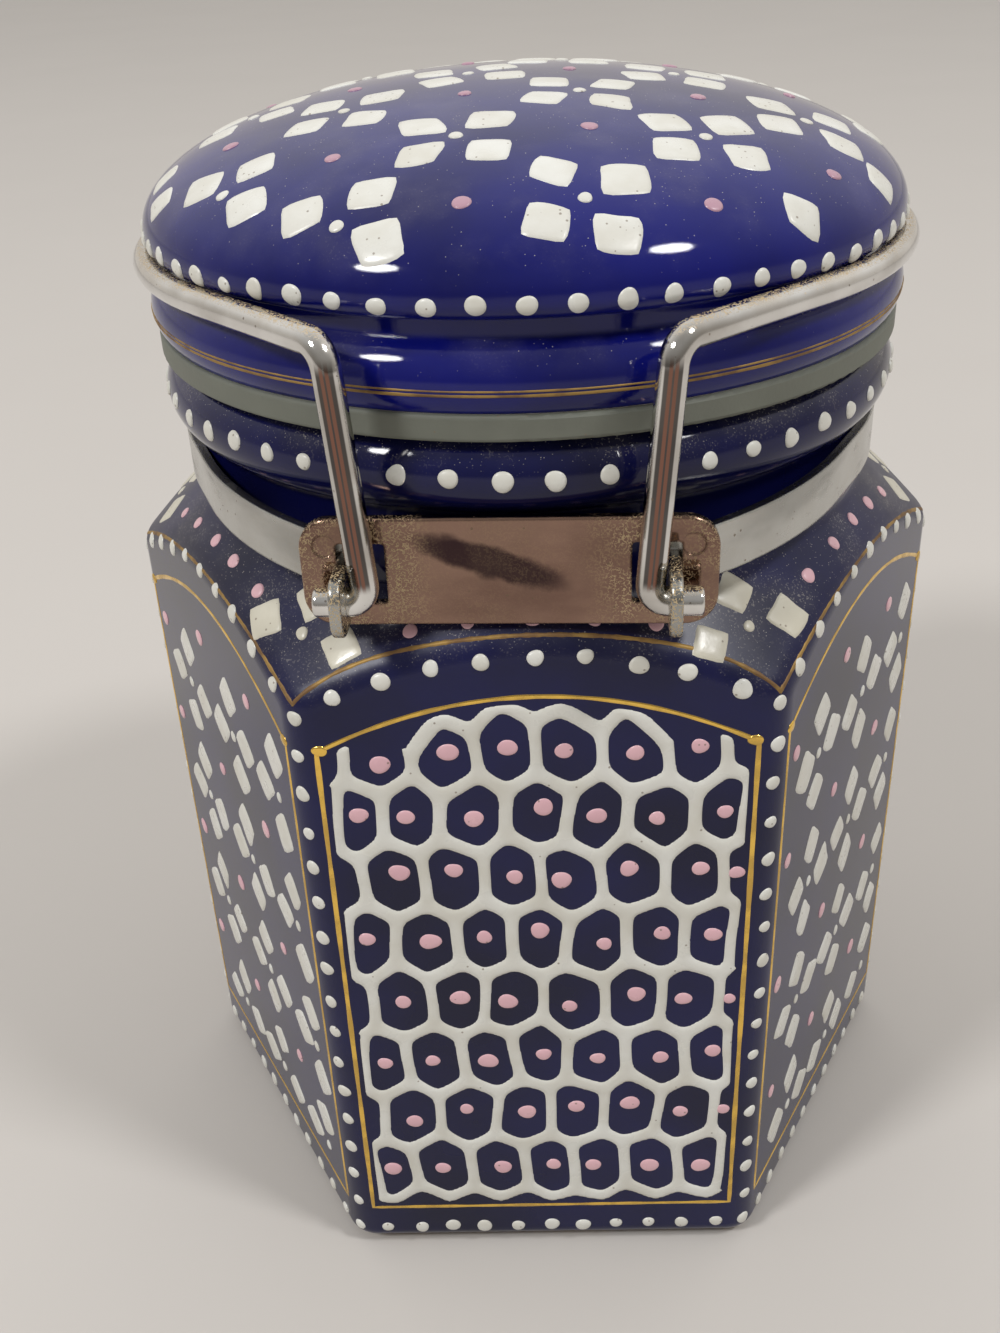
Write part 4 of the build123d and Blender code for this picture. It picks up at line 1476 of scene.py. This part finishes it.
class CANISTER_OT_flowers(bpy.types.Operator):
    """Sets the white enamel flowers on the dome, the shoulder and three panels"""
    bl_idname = "canister.flowers"
    bl_label = "Flowers"

    def execute(self, context):
        sizes = context.scene.canister_enamel
        look = context.scene.canister_finish
        white = bpy.data.materials["white_enamel"]
        aged = enamel("aged_enamel", look.white_stained, look.white_aged, look)
        rng = random.Random(FLOWER_SEED)
        jar, lid = Skin("jar_body"), Skin("lid")
        jar_petals, jar_hearts, lid_petals, lid_hearts = Shell(), Shell(), Shell(), Shell()
        shoulder = Shell()

        def fits_dome(point):
            return point.z > DOME_Z + PETAL_DOME_CLEAR

        def fits_panel(point):
            across = point.dot(right)
            if abs(across) >= sizes.panel_half - PETAL_SIDE_CLEAR:
                return False
            low = sizes.panel_low + PETAL_FOOT_CLEAR
            return low < point.z < panel_arch(sizes, across) - PETAL_ARCH_CLEAR

        def fits_shoulder(point):
            return point.z > shoulder_height(CORNER_R - PETAL_CORNER_CLEAR)

        whole, _, cut_off = dome_flowers(sizes)
        for middle in whole:
            place, outward = dome_place_near(rng, middle)
            turn = sizes.flower_turn + stray(rng, DOME_TURN_STRAY)
            flower((lid_petals, lid_hearts), lid, rng, sizes, place, outward, EAST, turn, fits_dome)
        for index in range(SIDES):
            outward, right = panel_frame(index)
            middles = [] if is_net_panel(index) else panel_flowers(sizes)[0]
            for across, height in middles:
                place = panel_point(index, across, height)
                place += right * stray(rng, PANEL_STRAY) + UP * stray(rng, PANEL_STRAY)
                turn = stray(rng, PANEL_TURN_STRAY)
                flower(
                    (jar_petals, jar_hearts), jar, rng, sizes, place, outward, right, turn, fits_panel,
                    PANEL_SPREAD)
            turn = corner_turn(index, SHOULDER_SWINGS[index])
            place, outward = shoulder_place(turn, CORNER_R - SHOULDER_FLOWER_IN)
            flower(
                (shoulder, shoulder), jar, rng, sizes, place, outward, round_way(turn), 0, fits_shoulder,
                SHOULDER_SPREAD, SHOULDER_POWER)
        for middle in cut_off:
            rim_petals(lid_petals, lid, rng, sizes, middle)
        shoulder.piece("shoulder_flowers", "jar", "jar_glaze", aged)
        jar_petals.piece("jar_flower_petals", "jar", "jar_glaze", white)
        jar_hearts.piece("jar_flower_hearts", "jar", "jar_glaze", white)
        lid_petals.piece("lid_flower_petals", "lid", "lid_glaze", white)
        lid_hearts.piece("lid_flower_hearts", "lid", "lid_glaze", white)
        return {"FINISHED"}


class CANISTER_OT_net(bpy.types.Operator):
    """Lays the white honeycomb net on three panels, and the pink ovals on the jar and the lid"""
    bl_idname = "canister.net"
    bl_label = "Honeycomb net"

    def execute(self, context):
        sizes = context.scene.canister_enamel
        look = context.scene.canister_finish
        pink = enamel("pink_enamel", look.pink, look.pink_thin, look, pricked=0.1)
        lilac = enamel("lilac_enamel", look.lilac, look.lilac, look, pricked=0.1)
        clean = enamel("net_enamel", look.white, look.white_aged, look, pricked=0.03)
        rng = random.Random(NET_SEED)
        jar, lid = Skin("jar_body"), Skin("lid")
        net, ovals, lid_ovals = Shell(), Shell(), Shell()
        limit = sizes.panel_half - OVAL_SIDE_ROOM

        def oval(shell, skin, place, outward, along, scale=1.0):
            size = hand(rng, sizes.pink_width * scale, OVAL_SPREAD)
            pair = (hand(rng, OVAL_LENGTH_SHARE * size), size)
            spot(shell, skin, rng, place, outward, along, pair, hand(rng, sizes.pink_height))

        for index in range(SIDES):
            outward, right = panel_frame(index)
            if is_net_panel(index):
                cells, kinds, halves = net_cells(sizes, rng)
                net_sheet(net, sizes, index, cells, kinds)
                for across, height in cells[(kinds == CLOSED) | (kinds == OPEN_TOP)]:
                    across = max(-limit, min(limit, across + stray(rng, OVAL_STRAY[0])))
                    under_arch = panel_arch(sizes, across) - OVAL_ARCH_ROOM
                    height = min(height + stray(rng, OVAL_STRAY[1]), under_arch)
                    oval(ovals, jar, panel_point(index, across, height), outward, right)
                for across, height in halves:
                    oval(ovals, jar, panel_point(index, across, height), outward, right, HALF_OVAL_SCALE)
            else:
                for across, height in panel_flowers(sizes)[1]:
                    across += stray(rng, GAP_OVAL_STRAY)
                    oval(ovals, jar, panel_point(index, across, height), outward, right)
            for i in SHOULDER_OVALS:
                swing = i * SHOULDER_OVAL_DEGREES + stray(rng, SHOULDER_OVAL_STRAY_DEGREES)
                turn = panel_turn(index) + math.radians(swing)
                out = SHOULDER_OVAL_OUT + SHOULDER_OVAL_SWEEP * i * i
                place, tilted = shoulder_place(turn, NECK_R + out)
                oval(ovals, jar, place, tilted, round_way(turn), SHOULDER_OVAL_SCALE)
        for middle in dome_flowers(sizes)[1]:
            place, outward = dome_place_near(rng, middle)
            oval(lid_ovals, lid, place, outward, EAST, LID_OVAL_SCALE)
        net.piece("jar_honeycomb_net", "jar", "jar_glaze", clean)
        ovals.piece("jar_pink_ovals", "jar", "jar_glaze", pink)
        lid_ovals.piece("lid_pink_ovals", "lid", "lid_glaze", lilac)
        return {"FINISHED"}


class CANISTER_OT_gilding(bpy.types.Operator):
    """Draws the gilt frames, the arch lines and the lines round the lid's flange"""
    bl_idname = "canister.gilding"
    bl_label = "Gilding"

    def execute(self, context):
        sizes = context.scene.canister_enamel
        look = context.scene.canister_finish
        bright = gilding("bright_gilding", look, least=0.0, most_rubbed=0.4)
        rubbed = gilding("rubbed_gilding", look, least=0.78, most_rubbed=1.0)
        rng = random.Random(GILT_SEED)
        jar, lid = Skin("jar_body"), Skin("lid")
        frames, arches, ring = Shell(), Shell(), Shell()
        for index in range(SIDES):
            outward, right = panel_frame(index)
            places = [(panel_point(index, across, height), outward) for across, height in frame_line(sizes)]
            ribbon(frames, jar, rng, places, sizes.gold_width, sizes.gold_height, closed=True)
            for across in (sizes.panel_half, -sizes.panel_half):
                blob = panel_point(index, across * BLOB_IN_SHARE, sizes.panel_side + BLOB_RAISED)
                raised = BLOB_HEIGHT_SCALE * sizes.gold_height
                spot(frames, jar, rng, blob, outward, right, BLOB_SIZE, raised)
            width = ARCH_WIDTH_SHARE * sizes.gold_width
            ribbon(arches, jar, rng, arch_line(index), width, sizes.gold_height)
        for height, width in RING_LINES:
            ribbon(ring, lid, rng, ring_line(height), width, sizes.gold_height, closed=True)
        frames.piece("jar_gilt_frames", "jar", "jar_glaze", bright)
        arches.piece("jar_gilt_arches", "jar", "jar_glaze", rubbed)
        ring.piece("lid_gilt_ring", "lid", "lid_glaze", rubbed)
        return {"FINISHED"}


class CANISTER_OT_stage(bpy.types.Operator):
    """Lays the floor, sets the light and places the camera"""
    bl_idname = "canister.stage"
    bl_label = "Floor, light and camera"

    def execute(self, context):
        scene = context.scene
        lay_floor(scene)
        set_light(scene)
        set_camera(scene)
        scene.view_settings.view_transform = "Standard"
        return {"FINISHED"}


GROUPS = (
    ("canister_enamel", CanisterEnamel),
    ("canister_finish", CanisterFinish),
    ("canister_stage", CanisterStage),
)
OPERATORS = (
    CANISTER_OT_effects, CANISTER_OT_glaze, CANISTER_OT_seal, CANISTER_OT_sheet_metal, CANISTER_OT_wires,
    CANISTER_OT_white_dots, CANISTER_OT_flowers, CANISTER_OT_net, CANISTER_OT_gilding, CANISTER_OT_stage,
)


class CANISTER_PT_sidebar(bpy.types.Panel):
    """Lists the canister's sizes, colours and steps"""
    bl_label = "Canister"
    bl_idname = "CANISTER_PT_sidebar"
    bl_space_type = "VIEW_3D"
    bl_region_type = "UI"
    bl_category = "Canister"

    def draw(self, context):
        for name, group in GROUPS:
            box = self.layout.box()
            for key in group.__annotations__:
                box.prop(getattr(context.scene, name), key)
        for operator in OPERATORS:
            self.layout.operator(operator.bl_idname)


def register():
    """Adds the properties, the operators and the panel."""
    for name, group in GROUPS:
        bpy.utils.register_class(group)
        setattr(bpy.types.Scene, name, bpy.props.PointerProperty(type=group))
    for operator in OPERATORS:
        bpy.utils.register_class(operator)
    bpy.utils.register_class(CANISTER_PT_sidebar)


def unregister():
    """Takes away what register added."""
    bpy.utils.unregister_class(CANISTER_PT_sidebar)
    for operator in reversed(OPERATORS):
        bpy.utils.unregister_class(operator)
    for name, group in reversed(GROUPS):
        delattr(bpy.types.Scene, name)
        bpy.utils.unregister_class(group)


def main():
    """Dresses the frame piece by piece."""
    register()
    for operator in OPERATORS:
        step = operator.bl_idname.partition(".")[2]
        getattr(bpy.ops.canister, step)()


if __name__ == "__main__":
    main()
